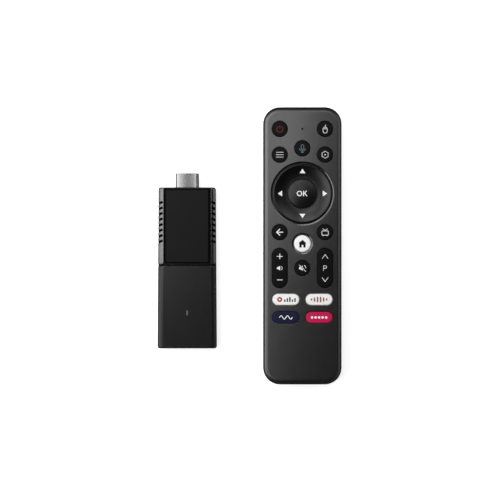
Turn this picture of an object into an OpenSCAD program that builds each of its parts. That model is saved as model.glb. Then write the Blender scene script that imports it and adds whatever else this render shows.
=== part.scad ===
// Streaming stick and its voice remote, lying face up side by side.
// X runs across both units, Y towards the stick's plug, Z up out of the key faces.
// The origin is the middle of the set's footprint, on the surface that it lies on.

/* [Remote] */
// Width of the remote
remote_w = 46.8; // [46:0.2:50]
// Length of the remote
remote_l = 165.6; // [164:0.2:172]
// Radius of the remote's corners, seen from above
remote_corner_r = 10; // [8:0.5:12]
// Wall thickness of the remote's shells
wall = 1.6; // [1.4:0.1:1.8]
// Height of the seam between the remote's shells
seam_z = 9; // [8.5:0.25:10]
// Radius of the edge around the key face
face_edge_r = 2.6; // [2:0.2:3]
// Radius of the edge around the underside
base_edge_r = 4; // [3:0.5:4.5]

/* [Keys] */
// Diameter of the small round keys
key_d = 9.2; // [9:0.2:10]
// Diameter of the home key
home_d = 10; // [9.8:0.2:10.6]
// Diameter of the OK key
ok_d = 17.3; // [16:0.1:17.5]
// Diameter of the direction ring
ring_d = 35.2; // [34:0.2:36]
// Distance of the outer key columns from the middle
column_x = 13.5; // [13:0.25:14]
// Height of a key above the shell's face
key_proud = 0.6; // [0.3:0.1:1]
// How far a key travels when it is pressed
key_travel = 0.8; // [0.5:0.1:0.8]
// Clearance between a key and its hole
key_gap = 0.2; // [0.2:0.05:0.3]

/* [Battery bay] */
// Diameter of one AAA cell
cell_d = 10.5; // [10.3:0.1:10.5]
// Length of one AAA cell, with its button
cell_l = 44.5; // [44:0.1:44.5]
// Thickness of the sliding battery cover
cover_t = 1.4; // [1.2:0.1:1.6]
// Width of the sliding battery cover
cover_w = 28; // [27:0.5:30]

/* [Stick] */
// Width of the stick at its plug end
stick_w_top = 34.2; // [33.5:0.1:35]
// Width of the stick at its power end
stick_w_low = 35.4; // [34.5:0.1:36]
// Length of the stick's case
stick_l = 96.4; // [95:0.2:98]
// Thickness of the stick's case
stick_h = 13; // [12.6:0.2:14]
// Radius of the long edges of the stick's face
stick_edge_r = 3; // [2.4:0.2:3.2]
// Wall thickness of the stick's case
stick_wall = 1.4; // [1.2:0.1:1.5]
// Number of vent slots in each rail
vents = 8; // [4:1:9]
// Distance between vent slots
vent_pitch = 3.3; // [2.8:0.1:3.6]

/* [Layout] */
// Gap between the stick and the remote
units_gap = 27.8; // [20:0.2:40]
// Height of the stick's plug end above the remote's middle
stick_top_y = 35; // [30:0.5:40]

/* [Hidden] */

// Places of the two units
total_w = remote_w + units_gap + stick_w_low;
remote_x = total_w / 2 - remote_w / 2;
stick_x = -total_w / 2 + stick_w_low / 2;
eps = 0.01;

// Levels in the remote, from the table up
cell_z = cover_t + 0.2 + cell_d / 2;
bay_top_z = cell_z + cell_d / 2 + 0.2;
board_z = bay_top_z + 0.8;
board_t = 0.8;
mat_z = board_z + board_t;
mat_t = 0.5;
mat_top_z = mat_z + mat_t;
dome_h = 1.5;
seat_z = mat_top_z + dome_h;
flange_t = 0.6;
ceiling_z = seat_z + flange_t + 0.05;
face_z = ceiling_z + 1.55;
key_top_z = face_z + key_proud;

// Remote: bay, board and fixings
bay_w = 2 * cell_d + 1;
bay_y0 = -74;
bay_y1 = bay_y0 + cell_l + 4.5;
cover_y1 = bay_y1 + 8;
shelf_z = cover_t + 0.3;
shelf_t = 1.2;
lip_t = 2;
end_wall_t = 1.2;
tab_w = 1;
lip_y = -remote_l / 2 + lip_t;
board_w = remote_w - 5.6;
board_y0 = -71;
board_y1 = remote_l / 2 - 5;
screw_y = [bay_y1 + 3.5, -78];
screw_r = 1;
post_r = 2.2;
window_w = 14;
window_h = 5;

// Remote: where the keys sit, from the remote's middle
ROUND_KEYS = [
  ["power_key", -column_x, 69.7],
  ["mouse_key", column_x, 69.7],
  ["voice_key", 0, 58.1],
  ["menu_key", -column_x, 54.3],
  ["settings_key", column_x, 54.3],
  ["back_key", -column_x, 8.1],
  ["tv_key", column_x, 8.1],
  ["mute_key", 0, -13.3]
];
mic_y = 69.8;
home_y = 1.3;
ring_y = 31.2;
rocker_y = -13.3;
rocker_w = 9.2;
rocker_l = 23.6;
shortcut_w = 16.2;
shortcut_h = 6.9;
shortcut_x = 9.9;
shortcut_rows = [-32, -42.7];
SHORTCUTS = [
  for (row = [0, 1], side = [-1, 1])
    [str("shortcut_key_", 2 * row + (side + 3) / 2), side * shortcut_x, shortcut_rows[row]]
];

// Remote: the direction ring's stack
ring_r = ring_d / 2;
ring_hole_r = ring_r + 0.5;
bevel_w = 1.1;
bevel_h = 0.3;
pocket_h = 0.3;
rib_low_r = 0.5;
carrier_z = mat_top_z + rib_low_r;
carrier_t = 0.3;
carrier_r = 12.5;
carrier_hole_r = 10.3;
rib_high_r = 0.4;
ring_base_z = carrier_z + carrier_t + rib_high_r;
ring_bore_r = ok_d / 2 + 0.35;
ring_inner_r = 10.5;
ring_flange_r = ring_hole_r + 0.6;
ring_flange_t = 0.45;
axle_r = 0.6;
axle_z = mat_top_z + 0.9;

// Levels and places in the stick
split_z = stick_h / 2;
stick_low_y = stick_top_y - stick_l;
sleeve_y = stick_top_y - 46.7;
front_y = sleeve_y + 0.3;
stick_board_z = 5;
stick_board_t = 1;
stick_board_top = stick_board_z + stick_board_t;
board_end_y = [stick_low_y + 2, stick_top_y - 13.6];
well_w = 28.4;
well_z = stick_h - 1.4;
panel_w = 25.6;
panel_y0 = front_y + 1.5;
panel_y1 = stick_top_y - 1.4;
inner_z = well_z - 1.2;
plug_w = 13.9;
plug_h = 4.45;
plug_out = 8.5;
plug_in = 12.9;
plug_z = stick_board_z + stick_board_t / 2;
plug_metal = 0.4;
plug_slot_w = 11.9;
plug_slot_h = 1.9;
pin_t = 0.2;
pin_y = [board_end_y[1] - 1.4, stick_top_y + 7];
port_w = 7.6;
port_h = 2.8;
port_l = 5.6;
port_z = stick_board_top + port_h / 2;
port_metal = 0.3;
light_y = -40.1;
light_w = 0.8;
light_l = 3;
board_posts = [for (y = [board_end_y[0] + 5, 16], side = [-1, 1]) [side * 12.2, y]];
radio_y = -46;

// Outlines: a rectangle with round corners, and one that tapers along Y
function arc(cx, cy, r, from, n) =
  [for (i = [0 : n]) [cx + r * cos(from + 90 * i / n), cy + r * sin(from + 90 * i / n)]];
function round_rect(w, l, r, n = 8) = concat(
  arc(w / 2 - r, l / 2 - r, r, 0, n), arc(r - w / 2, l / 2 - r, r, 90, n),
  arc(r - w / 2, r - l / 2, r, 180, n), arc(w / 2 - r, r - l / 2, r, 270, n));
function taper_rect(w0, w1, y0, y1, r, n = 4) = concat(
  arc(w1 / 2 - r, y1 - r, r, 0, n), arc(r - w1 / 2, y1 - r, r, 90, n),
  arc(r - w0 / 2, y0 + r, r, 180, n), arc(w0 / 2 - r, y0 + r, r, 270, n));
function stick_w(y) =
  stick_w_low + (stick_w_top - stick_w_low) * (y - stick_low_y) / stick_l;
// How far a rounded edge of radius r steps in at a depth d below its face
function edge_inset(r, d) = d >= r ? 0 : r - sqrt(r * r - (r - d) * (r - d));

module prism(points, z0, z1) {
  translate([0, 0, z0]) linear_extrude(z1 - z0) polygon(points);
}

module box(x0, x1, y0, y1, z0, z1) {
  translate([x0, y0, z0]) cube([x1 - x0, y1 - y0, z1 - z0]);
}

module disc(x, y, r, z0, z1) {
  translate([x, y, z0]) cylinder(r = r, h = z1 - z0, $fn = 48);
}

// A block whose top or bottom edge is rounded all the way round
module round_edged(w, l, r, z0, z1, edge, top) {
  steps = 5;
  hull() {
    for (i = [0 : steps - 1]) {
      depth = edge * (1 - cos(90 * i / steps));
      inset = edge_inset(edge, depth);
      z = top ? z1 - eps - depth : z0 + depth;
      prism(round_rect(w - 2 * inset, l - 2 * inset, r - inset), z, z + eps);
    }
    prism(round_rect(w, l, r), top ? z0 : z0 + edge, top ? z1 - edge : z1);
  }
}

module remote_outline_ring(inset_out, inset_in, z0, z1) {
  difference() {
    prism(round_rect(remote_w - 2 * inset_out, remote_l - 2 * inset_out,
      remote_corner_r - inset_out), z0, z1);
    prism(round_rect(remote_w - 2 * inset_in, remote_l - 2 * inset_in,
      remote_corner_r - inset_in), z0 - 1, z1 + 1);
  }
}

// The top of a key's outline, from its wall over a soft edge to its crown
function cap_top(r, top_z, crown, edge = 0.5) = concat(
  [for (i = [0 : 4]) [r - edge * (1 - cos(22.5 * i)), top_z - edge + edge * sin(22.5 * i)]],
  [[r * 0.55, top_z + crown * 0.7], [0, top_z + crown]]);
function cap_profile(r, flange, top_z, crown) = concat(
  [[0, seat_z], [r + flange, seat_z], [r + flange, seat_z + flange_t], [r, seat_z + flange_t]],
  cap_top(r, top_z, crown));

// A straight-sided hole or block with round ends, its length along X or Y
module stadium(w, h, z0, z1) {
  r = min(w, h) / 2;
  for (end = [-1, 1]) disc(end * (w / 2 - r), end * (h / 2 - r), r, z0, z1);
  if (w > h) box(r - w / 2, w / 2 - r, -r, r, z0, z1);
  else box(-r, r, r - h / 2, h / 2 - r, z0, z1);
}

// ---------- Remote: casings ----------

module key_openings() {
  for (k = ROUND_KEYS) disc(k[1], k[2], key_d / 2 + key_gap, ceiling_z - 1, face_z + 1);
  disc(0, home_y, home_d / 2 + key_gap + 0.1, ceiling_z - 1, face_z + 1);
  translate([0, home_y, face_z - bevel_h])
    cylinder(r1 = home_d / 2 + key_gap + 0.1, r2 = home_d / 2 + bevel_w, h = bevel_h + eps, $fn = 48);
  disc(0, ring_y, ring_hole_r, ceiling_z - 1, face_z + 1);
  translate([0, ring_y, face_z - bevel_h])
    cylinder(r1 = ring_hole_r, r2 = ring_hole_r + bevel_w, h = bevel_h + eps, $fn = 72);
  disc(0, ring_y, ring_flange_r + 0.4, ceiling_z - 1, ceiling_z + pocket_h);
  for (side = [-1, 1]) translate([side * column_x, rocker_y, 0])
    stadium(rocker_w + 2 * key_gap, rocker_l + 2 * key_gap, ceiling_z - 1, face_z + 1);
  for (k = SHORTCUTS) translate([k[1], k[2], 0])
    stadium(shortcut_w + 2 * key_gap, shortcut_h + 2 * key_gap, ceiling_z - 1, face_z + 1);
  disc(0, mic_y, 0.6, ceiling_z - 1, face_z + 1);
}

// The hooks that hold a rocker's axle
module axle_saddles(x) {
  for (side = [-1, 1]) translate([x + side * (rocker_w / 2 + 0.95), rocker_y, 0])
    difference() {
      box(-0.6, 0.6, -1.5, 1.5, axle_z - 0.4, ceiling_z + 0.2);
      translate([-1, 0, axle_z]) rotate([0, 90, 0]) cylinder(r = axle_r + 0.06, h = 2, $fn = 32);
      box(-1, 1, -axle_r, axle_r, axle_z - 1, axle_z);
    }
}

module remote_top_shell() {
  color([0.13, 0.13, 0.13]) translate([remote_x, 0, 0]) {
    difference() {
      round_edged(remote_w, remote_l, remote_corner_r, seam_z, face_z, face_edge_r, true);
      prism(round_rect(remote_w - 2 * wall, remote_l - 2 * wall, remote_corner_r - wall),
        seam_z - 1, ceiling_z);
      prism(round_rect(remote_w - 2 * wall + 1.5, remote_l - 2 * wall + 1.5,
        remote_corner_r - wall + 0.75), seam_z - 1, seam_z + 0.95);
      key_openings();
      window_cut();
    }
    for (y = screw_y) difference() {
      disc(0, y, post_r, seam_z - 1, ceiling_z + 0.2);
      disc(0, y, screw_r + 0.03, seam_z - 2, ceiling_z - 2);
    }
    for (side = [-1, 1]) axle_saddles(side * column_x);
  }
}

module window_cut() {
  box(-window_w / 2 - 0.1, window_w / 2 + 0.1, remote_l / 2 - 3, remote_l / 2 + 1,
    seam_z - window_h / 2 - 0.1, seam_z + window_h / 2 + 0.1);
}

module cover_recess() {
  gap = 0.2;
  half = cover_w / 2 + gap;
  box(-half, half, -remote_l / 2 - 1, cover_y1 + gap, -1, shelf_z);
  box(-half - tab_w, half + tab_w, -remote_l / 2 - 1, cover_y1 - 2, 0.7, shelf_z);
  box(-half - tab_w, half + tab_w, -remote_l / 2 - 1, lip_y + gap, -1, seam_z - 2.8);
  box(-5.2, 5.2, cover_y1, cover_y1 + 1.6, 0.7, shelf_z);
}

module bay_hole() {
  box(-bay_w / 2, bay_w / 2, bay_y0, bay_y1, shelf_z - 1, bay_top_z);
}

module remote_bottom_shell() {
  inner_w = remote_w - 2 * wall;
  color([0.1, 0.1, 0.1]) translate([remote_x, 0, 0]) difference() {
    union() {
      difference() {
        round_edged(remote_w, remote_l, remote_corner_r, 0, seam_z, base_edge_r, false);
        prism(round_rect(inner_w, remote_l - 2 * wall, remote_corner_r - wall), wall, seam_z + 1);
      }
      remote_outline_ring(wall - 0.65, wall + 0.05, seam_z - 0.5, seam_z + 0.85);
      box(-cover_w / 2 - 2.4, cover_w / 2 + 2.4, lip_y, cover_y1 + 2.6, wall - 0.2, shelf_z + shelf_t);
      box(-bay_w / 2 - 1, bay_w / 2 + 1, bay_y0 - 1, bay_y1 + 1, shelf_z, board_z);
      box(-cover_w / 2 - 2.4, cover_w / 2 + 2.4, lip_y, lip_y + end_wall_t + 0.2, shelf_z, seam_z - 1.1);
      for (y = screw_y) disc(0, y, post_r + 0.9, shelf_z, seam_z - 1);
      for (side = [-1, 1], y = [12, 72]) disc(side * 17.5, y, post_r, wall - 0.2, board_z);
    }
    cover_recess();
    bay_hole();
    window_cut();
    for (y = screw_y) {
      disc(0, y, 2.1, shelf_z - 1, shelf_z + 1.4);
      disc(0, y, screw_r + 0.15, shelf_z, seam_z);
    }
  }
}

module battery_cover() {
  half = cover_w / 2;
  end_y = -remote_l / 2;
  color([0.1, 0.1, 0.1]) translate([remote_x, 0, 0]) difference() {
    intersection() {
      round_edged(remote_w, remote_l, remote_corner_r, 0, seam_z, base_edge_r, false);
      union() {
        box(-half, half, end_y - 1, cover_y1, -1, cover_t);
        box(-half - tab_w, half + tab_w, end_y - 1, lip_y, -1, seam_z - 3);
        for (y = [-70, -48, -27]) box(-half - tab_w, half + tab_w, y - 4, y + 4, 0.8, cover_t);
        box(-5, 5, cover_y1 - 1, cover_y1 + 1.4, 0.8, cover_t);
      }
    }
    for (i = [0 : 4]) {
      groove_y = cover_y1 - 5.2 - 1.6 * i;
      box(-6 + i, 6 - i, groove_y - 0.8, groove_y, -1, 0.4);
    }
  }
}

// ---------- Remote: power, board and fixings ----------

// One cell, its button towards +Y when dir is 1
module cell(x, dir) {
  body_l = cell_l - 0.8;
  mid_y = (bay_y0 + bay_y1) / 2 + dir * 1.65;
  translate([remote_x + x, mid_y, cell_z]) rotate([-90 * dir, 0, 0]) {
    translate([0, 0, -cell_l / 2]) cylinder(r = cell_d / 2, h = body_l, $fn = 48);
    translate([0, 0, cell_l / 2 - 0.8 - eps]) cylinder(r = 1.9, h = 0.8 + eps, $fn = 32);
  }
}

module battery_left() {
  color([0.12, 0.35, 0.2]) cell(-cell_d / 2 - 0.2, 1);
}

module battery_right() {
  color([0.12, 0.35, 0.2]) cell(cell_d / 2 + 0.2, -1);
}

// A tube swept round a coil whose axis is Y, from y = 0 to y = length
module coil(r, wire, turns, length) {
  sides = 8;
  rings = 16 * turns;
  function spot(i, j) =
    let (a = 360 * turns * i / rings, b = 360 * j / sides, d = r + wire * cos(b))
    [d * cos(a), wire + (length - 2 * wire) * i / rings + wire * sin(b), d * sin(a)];
  points = [for (i = [0 : rings], j = [0 : sides - 1]) spot(i, j)];
  walls = [for (i = [0 : rings - 1], j = [0 : sides - 1])
    let (k = (j + 1) % sides)
    [i * sides + j, i * sides + k, (i + 1) * sides + k, (i + 1) * sides + j]];
  ends = [[for (j = [sides - 1 : -1 : 0]) j], [for (j = [0 : sides - 1]) rings * sides + j]];
  polyhedron(points, concat(walls, ends));
}

module battery_springs() {
  length = 3.35;
  color([0.75, 0.75, 0.78]) for (side = [-1, 1])
    translate([remote_x + side * (cell_d / 2 + 0.2), side < 0 ? bay_y0 + 0.4 : bay_y1 - 0.4 - length, cell_z])
      coil(2.9, 0.3, 3, length);
}

module battery_contacts() {
  color([0.8, 0.8, 0.82]) translate([remote_x, 0, 0]) {
    box(-bay_w / 2 + 0.6, bay_w / 2 - 0.6, bay_y0, bay_y0 + 0.4, cell_z - 4, cell_z + 4);
    for (side = [-1, 1])
      box(side < 0 ? -bay_w / 2 + 0.6 : 0.8, side < 0 ? -0.8 : bay_w / 2 - 0.6,
        bay_y1 - 0.4, bay_y1, cell_z - 4, cell_z + 4);
  }
}

module remote_board() {
  mid_y = (board_y0 + board_y1) / 2;
  color([0.1, 0.3, 0.16]) translate([remote_x, 0, 0]) difference() {
    translate([0, mid_y, 0])
      prism(round_rect(board_w, board_y1 - board_y0, 6), board_z, board_z + board_t);
    disc(0, screw_y[0], post_r + 0.4, board_z - 1, mat_z + 1);
  }
}

module dome(x, y, r) {
  translate([x, y, mat_top_z - 0.1]) cylinder(r1 = r, r2 = r - 1, h = dome_h + 0.1, $fn = 32);
}

module keypad_mat() {
  mid_y = (board_y0 + board_y1) / 2;
  color([0.2, 0.2, 0.2]) translate([remote_x, 0, 0]) difference() {
    union() {
      translate([0, mid_y, 0])
        prism(round_rect(board_w - 1, board_y1 - board_y0 - 1, 5.5), mat_z, mat_top_z);
      for (k = ROUND_KEYS) dome(k[1], k[2], 3.4);
      dome(0, home_y, 3.4);
      dome(0, ring_y, 4);
      for (side = [-1, 1], end = [-1, 1]) dome(side * column_x, rocker_y + end * 7.6, 3);
      for (k = SHORTCUTS) dome(k[1], k[2], 3);
      for (end = [-1, 1]) translate([0, ring_y + end * 11.4, mat_top_z]) rotate([90, 0, 0])
        cylinder(r = rib_low_r, h = 2.2, center = true, $fn = 24);
    }
    disc(0, screw_y[0], post_r + 0.4, mat_z - 1, mat_top_z + 1);
    disc(0, mic_y, 2.4, mat_z - 1, mat_top_z + 1);
  }
}

module remote_chips() {
  color([0.07, 0.07, 0.08]) translate([remote_x, 0, 0]) {
    box(-3.5, 3.5, 22, 29, board_z - 0.9, board_z);
    box(7, 11, 34, 39, board_z - 0.8, board_z);
    box(-10, -7.8, 36, 39.2, board_z - 1, board_z);
    for (i = [0 : 4]) box(-12 + 3 * i, -11 + 3 * i, 46, 46.6, board_z - 0.5, board_z);
  }
}

module microphone() {
  color([0.8, 0.78, 0.7]) translate([remote_x, 0, 0]) difference() {
    disc(0, mic_y, 2, mat_z, mat_z + 1.5);
    disc(0, mic_y, 0.5, mat_z + 1, mat_z + 2);
  }
}

module infrared_led() {
  tip_y = remote_l / 2 - wall - 1.6;
  color([0.25, 0.2, 0.35]) translate([remote_x, tip_y - 1.5, seam_z]) {
    rotate([90, 0, 0]) cylinder(r = 1.5, h = 3.6, $fn = 32);
    sphere(r = 1.5, $fn = 32);
    translate([0, -3.4, 0]) rotate([90, 0, 0]) cylinder(r = 1.8, h = 0.6, $fn = 32);
  }
  color([0.8, 0.8, 0.82]) translate([remote_x, tip_y - 1.5, 0]) for (side = [-1, 1])
    box(side * 1.27 - 0.25, side * 1.27 + 0.25, -5, -3.9, seam_z - 0.25, board_z);
}

module infrared_window() {
  y1 = remote_l / 2;
  half = window_w / 2;
  color([0.06, 0.02, 0.05]) translate([remote_x, 0, seam_z]) {
    box(-half, half, y1 - wall - 0.2, y1 - 0.05, -window_h / 2, window_h / 2);
    box(-half - 1, half + 1, y1 - wall - 1.4, y1 - wall - 0.1, -window_h / 2 - 0.7, window_h / 2 + 0.7);
  }
}

module case_screws() {
  color([0.55, 0.55, 0.58]) for (y = screw_y) translate([remote_x, y, shelf_z + 0.1]) difference() {
    union() {
      cylinder(r = 1.9, h = 1.3, $fn = 32);
      cylinder(r = screw_r, h = 10.5, $fn = 32);
    }
    for (a = [0, 90]) rotate(a) translate([-1.1, -0.25, -1]) cube([2.2, 0.5, 1.6]);
  }
}

// ---------- Remote: keys ----------

// A round key standing on its dome
module round_cap(d, crown) {
  rotate_extrude($fn = 64) polygon(cap_profile(d / 2, 0.6, key_top_z, crown));
}

// The same section drawn out along X or Y
module long_cap(w, h, flange) {
  r = min(w, h) / 2;
  run = max(w, h) - 2 * r;
  half = cap_profile(r, flange, key_top_z, 0.1);
  mirrored = [for (i = [len(half) - 1 : -1 : 0]) [-half[i][0], half[i][1]]];
  rotate(w > h ? 90 : 0) {
    for (end = [-1, 1]) translate([0, end * run / 2, 0]) rotate_extrude($fn = 64) polygon(half);
    translate([0, run / 2, 0]) rotate([90, 0, 0]) linear_extrude(run) polygon(concat(half, mirrored));
  }
}

module round_key(k) {
  color([0.05, 0.05, 0.05]) translate([remote_x + k[1], k[2], 0])
    round_cap(key_d, 0.1);
}

module home_key() {
  color([0.9, 0.9, 0.9]) translate([remote_x, home_y, 0]) round_cap(home_d, 0.15);
}

module ok_key() {
  r = ok_d / 2;
  edge_z = face_z - 0.15;
  color([0.06, 0.06, 0.06]) translate([remote_x, ring_y, 0]) rotate_extrude($fn = 96)
    polygon(concat(
      [[0, seat_z], [r + 1.1, seat_z], [r + 1.1, seat_z + flange_t], [r, seat_z + flange_t]],
      [for (i = [0 : 6]) [r * cos(15 * i), edge_z + sin(15 * i)]]));
}

// The ring that the direction ring rocks on: ribs below it lie along Y, ribs on it along X
module ring_carrier() {
  color([0.18, 0.18, 0.18]) translate([remote_x, ring_y, 0]) {
    difference() {
      union() {
        disc(0, 0, carrier_r, carrier_z, carrier_z + carrier_t);
        for (side = [-1, 1]) translate([side * 11.4, 0, carrier_z + carrier_t]) rotate([0, 90, 0])
          cylinder(r = rib_high_r, h = 2, center = true, $fn = 24);
      }
      disc(0, 0, carrier_hole_r, carrier_z - 1, carrier_z + 2);
      disc(0, 0, carrier_r + 2, carrier_z - 1, carrier_z);
    }
  }
}

module direction_ring() {
  rim_z = face_z + 0.8;
  bore_z = face_z + 0.1;
  flange_z = ring_base_z + ring_flange_t;
  under_z = seat_z + flange_t + 0.4;
  color([0.07, 0.07, 0.07]) translate([remote_x, ring_y, 0]) rotate_extrude($fn = 96)
    polygon(concat(
      [[ring_inner_r, ring_base_z], [ring_flange_r, ring_base_z]],
      [[ring_flange_r, flange_z], [ring_r, flange_z]],
      [for (i = [0 : 4]) [ring_r - 0.5 * (1 - cos(22.5 * i)), rim_z - 0.5 + 0.5 * sin(22.5 * i)]],
      [[ring_r - 3, rim_z - 0.25], [13, rim_z - 0.6], [ring_bore_r + 0.3, bore_z]],
      [[ring_bore_r, bore_z - 0.3], [ring_bore_r, under_z], [ring_inner_r, under_z]]));
}

module rocker(x) {
  color([0.05, 0.05, 0.05]) translate([remote_x + x, rocker_y, 0]) {
    long_cap(rocker_w, rocker_l, 0);
    box(-rocker_w / 2 + 0.4, rocker_w / 2 - 0.4, -1, 1, axle_z - 0.3, seat_z + 0.2);
    translate([0, 0, axle_z]) rotate([0, 90, 0])
      cylinder(r = axle_r, h = rocker_w + 2.6, center = true, $fn = 32);
  }
}

module volume_rocker() {
  rocker(-column_x);
}

module channel_rocker() {
  rocker(column_x);
}

module shortcut_key(k) {
  pale = k[2] == shortcut_rows[0];
  color(pale ? [0.9, 0.9, 0.9] : k[1] < 0 ? [0.08, 0.08, 0.28] : [0.75, 0.05, 0.25])
    translate([remote_x + k[1], k[2], 0]) long_cap(shortcut_w, shortcut_h, 0.6);
}

// ---------- Stick: casings ----------

// A tapering block of the stick's width, with a side edge and an end edge of their own radii
module stick_block(y0, y1, z0, z1, side_r, end_r, top) {
  steps = 5;
  hull() {
    for (i = [0 : steps - 1]) {
      depth = side_r * (1 - cos(90 * i / steps));
      in_x = edge_inset(side_r, depth);
      in_y = edge_inset(end_r, depth);
      z = top ? z1 - eps - depth : z0 + depth;
      prism(taper_rect(stick_w(y0) - 2 * in_x, stick_w(y1) - 2 * in_x, y0 + in_y, y1 - in_y, 1.2),
        z, z + eps);
    }
    prism(taper_rect(stick_w(y0), stick_w(y1), y0, y1, 1.2), top ? z0 : z0 + side_r,
      top ? z1 - side_r : z1);
  }
}

// A flat-topped plug's outline with its lower corners cut off by bend
module plug_outline(w, h, bend, grow) {
  half = w / 2 + grow;
  top = h / 2 + grow;
  polygon([
    [-half, top], [-half, top - bend], [-half + bend, -top],
    [half - bend, -top], [half, top - bend], [half, top]
  ]);
}

module plug_prism(grow, y0, y1) {
  translate([0, y1, plug_z]) rotate([90, 0, 0]) linear_extrude(y1 - y0)
    plug_outline(plug_w, plug_h, 1.9, grow);
}

module port_prism(grow, y0, y1) {
  translate([0, y1, port_z]) rotate([90, 0, 0]) linear_extrude(y1 - y0)
    plug_outline(port_w, port_h, 1.1, grow);
}

module end_openings() {
  plug_prism(0.08, stick_top_y - 3, stick_top_y + 1);
  port_prism(0.08, stick_low_y - 1, stick_low_y + 3);
}

module vent_slots() {
  for (side = [-1, 1], i = [0 : vents - 1])
    translate([side * (stick_w_top / 2 - 2.2), 26.3 - vent_pitch * i, split_z + 1.7])
      rotate(side * -24) translate([side < 0 ? -8 : 0, -0.65, 0]) cube([8, 1.3, 10]);
}

module stick_back_shell() {
  in_w = stick_wall * 2;
  color([0.12, 0.12, 0.12]) translate([stick_x, 0, 0]) difference() {
    union() {
      difference() {
        stick_block(stick_low_y, stick_top_y, 0, split_z, 2, 1, false);
        prism(taper_rect(stick_w_low - in_w, stick_w_top - in_w, stick_low_y + stick_wall,
          stick_top_y - stick_wall, 0.6), stick_wall, split_z + 1);
      }
      for (p = board_posts) disc(p[0], p[1], 2, stick_wall - 0.2, stick_board_z);
    }
    for (p = board_posts) disc(p[0], p[1], 0.83, stick_wall + 0.2, stick_board_z + 1);
    end_openings();
  }
}

module stick_front_shell() {
  in_w = stick_wall * 2;
  color([0.2, 0.2, 0.2]) translate([stick_x, 0, 0]) difference() {
    stick_block(front_y, stick_top_y, split_z, stick_h, stick_edge_r, 0.5, true);
    prism(taper_rect(stick_w(front_y) - in_w, stick_w_top - in_w, front_y - 5,
      stick_top_y - stick_wall, 0.6), split_z - 1, inner_z);
    box(-well_w / 2, well_w / 2, front_y + 0.7, stick_top_y - 0.7, well_z, stick_h + 1);
    vent_slots();
    end_openings();
  }
}

module stick_face_panel() {
  mid_y = (panel_y0 + panel_y1) / 2;
  color([0.1, 0.1, 0.1]) translate([stick_x, mid_y, 0]) {
    prism(round_rect(panel_w, panel_y1 - panel_y0, 0.4, 3), well_z, stick_h - 0.3);
    prism(round_rect(panel_w - 0.4, panel_y1 - panel_y0 - 0.4, 0.3, 3), stick_h - 0.3 - eps, stick_h - 0.1);
  }
}

module light_slot(grow, z0, z1) {
  translate([0, light_y, 0])
    prism(round_rect(light_w + 2 * grow, light_l + 2 * grow, light_w / 2 + grow - eps, 4), z0, z1);
}

module stick_sleeve() {
  in_w = stick_wall * 2;
  color([0.16, 0.16, 0.16]) translate([stick_x, 0, 0]) difference() {
    stick_block(stick_low_y, sleeve_y, split_z, stick_h, stick_edge_r, 0.5, true);
    prism(taper_rect(stick_w_low - in_w, stick_w(sleeve_y) - in_w, stick_low_y + stick_wall,
      sleeve_y - 1, 0.6), split_z - 1, stick_h - stick_wall);
    box(-stick_w_top / 2 + 3, stick_w_top / 2 - 3, sleeve_y - 3, sleeve_y + 1, split_z - 1, inner_z);
    light_slot(0.05, split_z, stick_h + 1);
    end_openings();
  }
}

// ---------- Stick: plug, board and what is on it ----------

module plug_shell() {
  y0 = stick_top_y - plug_in;
  y1 = stick_top_y + plug_out;
  color([0.78, 0.78, 0.8]) translate([stick_x, 0, 0]) difference() {
    plug_prism(0, y0, y1);
    plug_prism(-plug_metal, y0 - 1, y1 + 1);
  }
}

// Ten pins over nine, gripping the end of the board between the two rows
module pins() {
  for (i = [0 : 9])
    box(i - 4.7, i - 4.3, pin_y[0], pin_y[1], stick_board_top, stick_board_top + pin_t);
  for (i = [0 : 8])
    box(i - 4.2, i - 3.8, pin_y[0], pin_y[1], stick_board_z - pin_t, stick_board_z);
}

module plug_insulator() {
  y0 = stick_top_y - plug_in;
  y1 = stick_top_y + plug_out - 0.6;
  half = plug_slot_w / 2;
  color([0.06, 0.06, 0.06]) translate([stick_x, 0, 0]) difference() {
    plug_prism(-plug_metal - 0.02, y0, y1);
    box(-half, half, stick_top_y - 1, y1 + 1, plug_z - plug_slot_h / 2, plug_z + plug_slot_h / 2);
    pins();
  }
}

module plug_contacts() {
  color([0.85, 0.68, 0.3]) translate([stick_x, 0, 0]) pins();
}

module stick_board() {
  color([0.06, 0.2, 0.12]) translate([stick_x, 0, 0]) difference() {
    box(-14.6, 14.6, board_end_y[0], board_end_y[1], stick_board_z, stick_board_top);
    for (p = board_posts) disc(p[0], p[1], 0.95, stick_board_z - 1, stick_board_top + 1);
  }
}

module processor() {
  color([0.06, 0.06, 0.07]) translate([stick_x, 0, 0])
    box(-6.5, 6.5, 4, 17, stick_board_top, stick_board_top + 1.2);
}

module memory_chips() {
  color([0.08, 0.08, 0.09]) translate([stick_x, 0, 0]) {
    for (side = [-1, 1])
      box(side * 4.9 - 3.8, side * 4.9 + 3.8, -9, 2, stick_board_top, stick_board_top + 1);
    box(-6, 6, -28, -16, stick_board_top, stick_board_top + 1);
  }
}

module shield_can() {
  top = stick_board_top + 2.2;
  color([0.75, 0.75, 0.76]) translate([stick_x, 0, 0]) difference() {
    box(-10.4, 10.4, -11, 19, stick_board_top, top);
    box(-10.1, 10.1, -10.7, 18.7, stick_board_top - 1, top - 0.3);
  }
}

module thermal_pad() {
  low = stick_board_top + 2.2;
  color([0.6, 0.65, 0.75]) translate([stick_x, 0, 0]) box(-8, 8, -8, 17, low, low + 1);
}

module heat_spreader() {
  low = stick_board_top + 3.2;
  color([0.8, 0.8, 0.82]) translate([stick_x, 0, 0]) box(-13, 13, -10, 20, low, inner_z);
}

module radio_module() {
  color([0.7, 0.7, 0.72]) translate([stick_x, 0, 0])
    box(-6, 6, radio_y - 3, radio_y + 3, stick_board_top, stick_board_top + 1.6);
}

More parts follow.
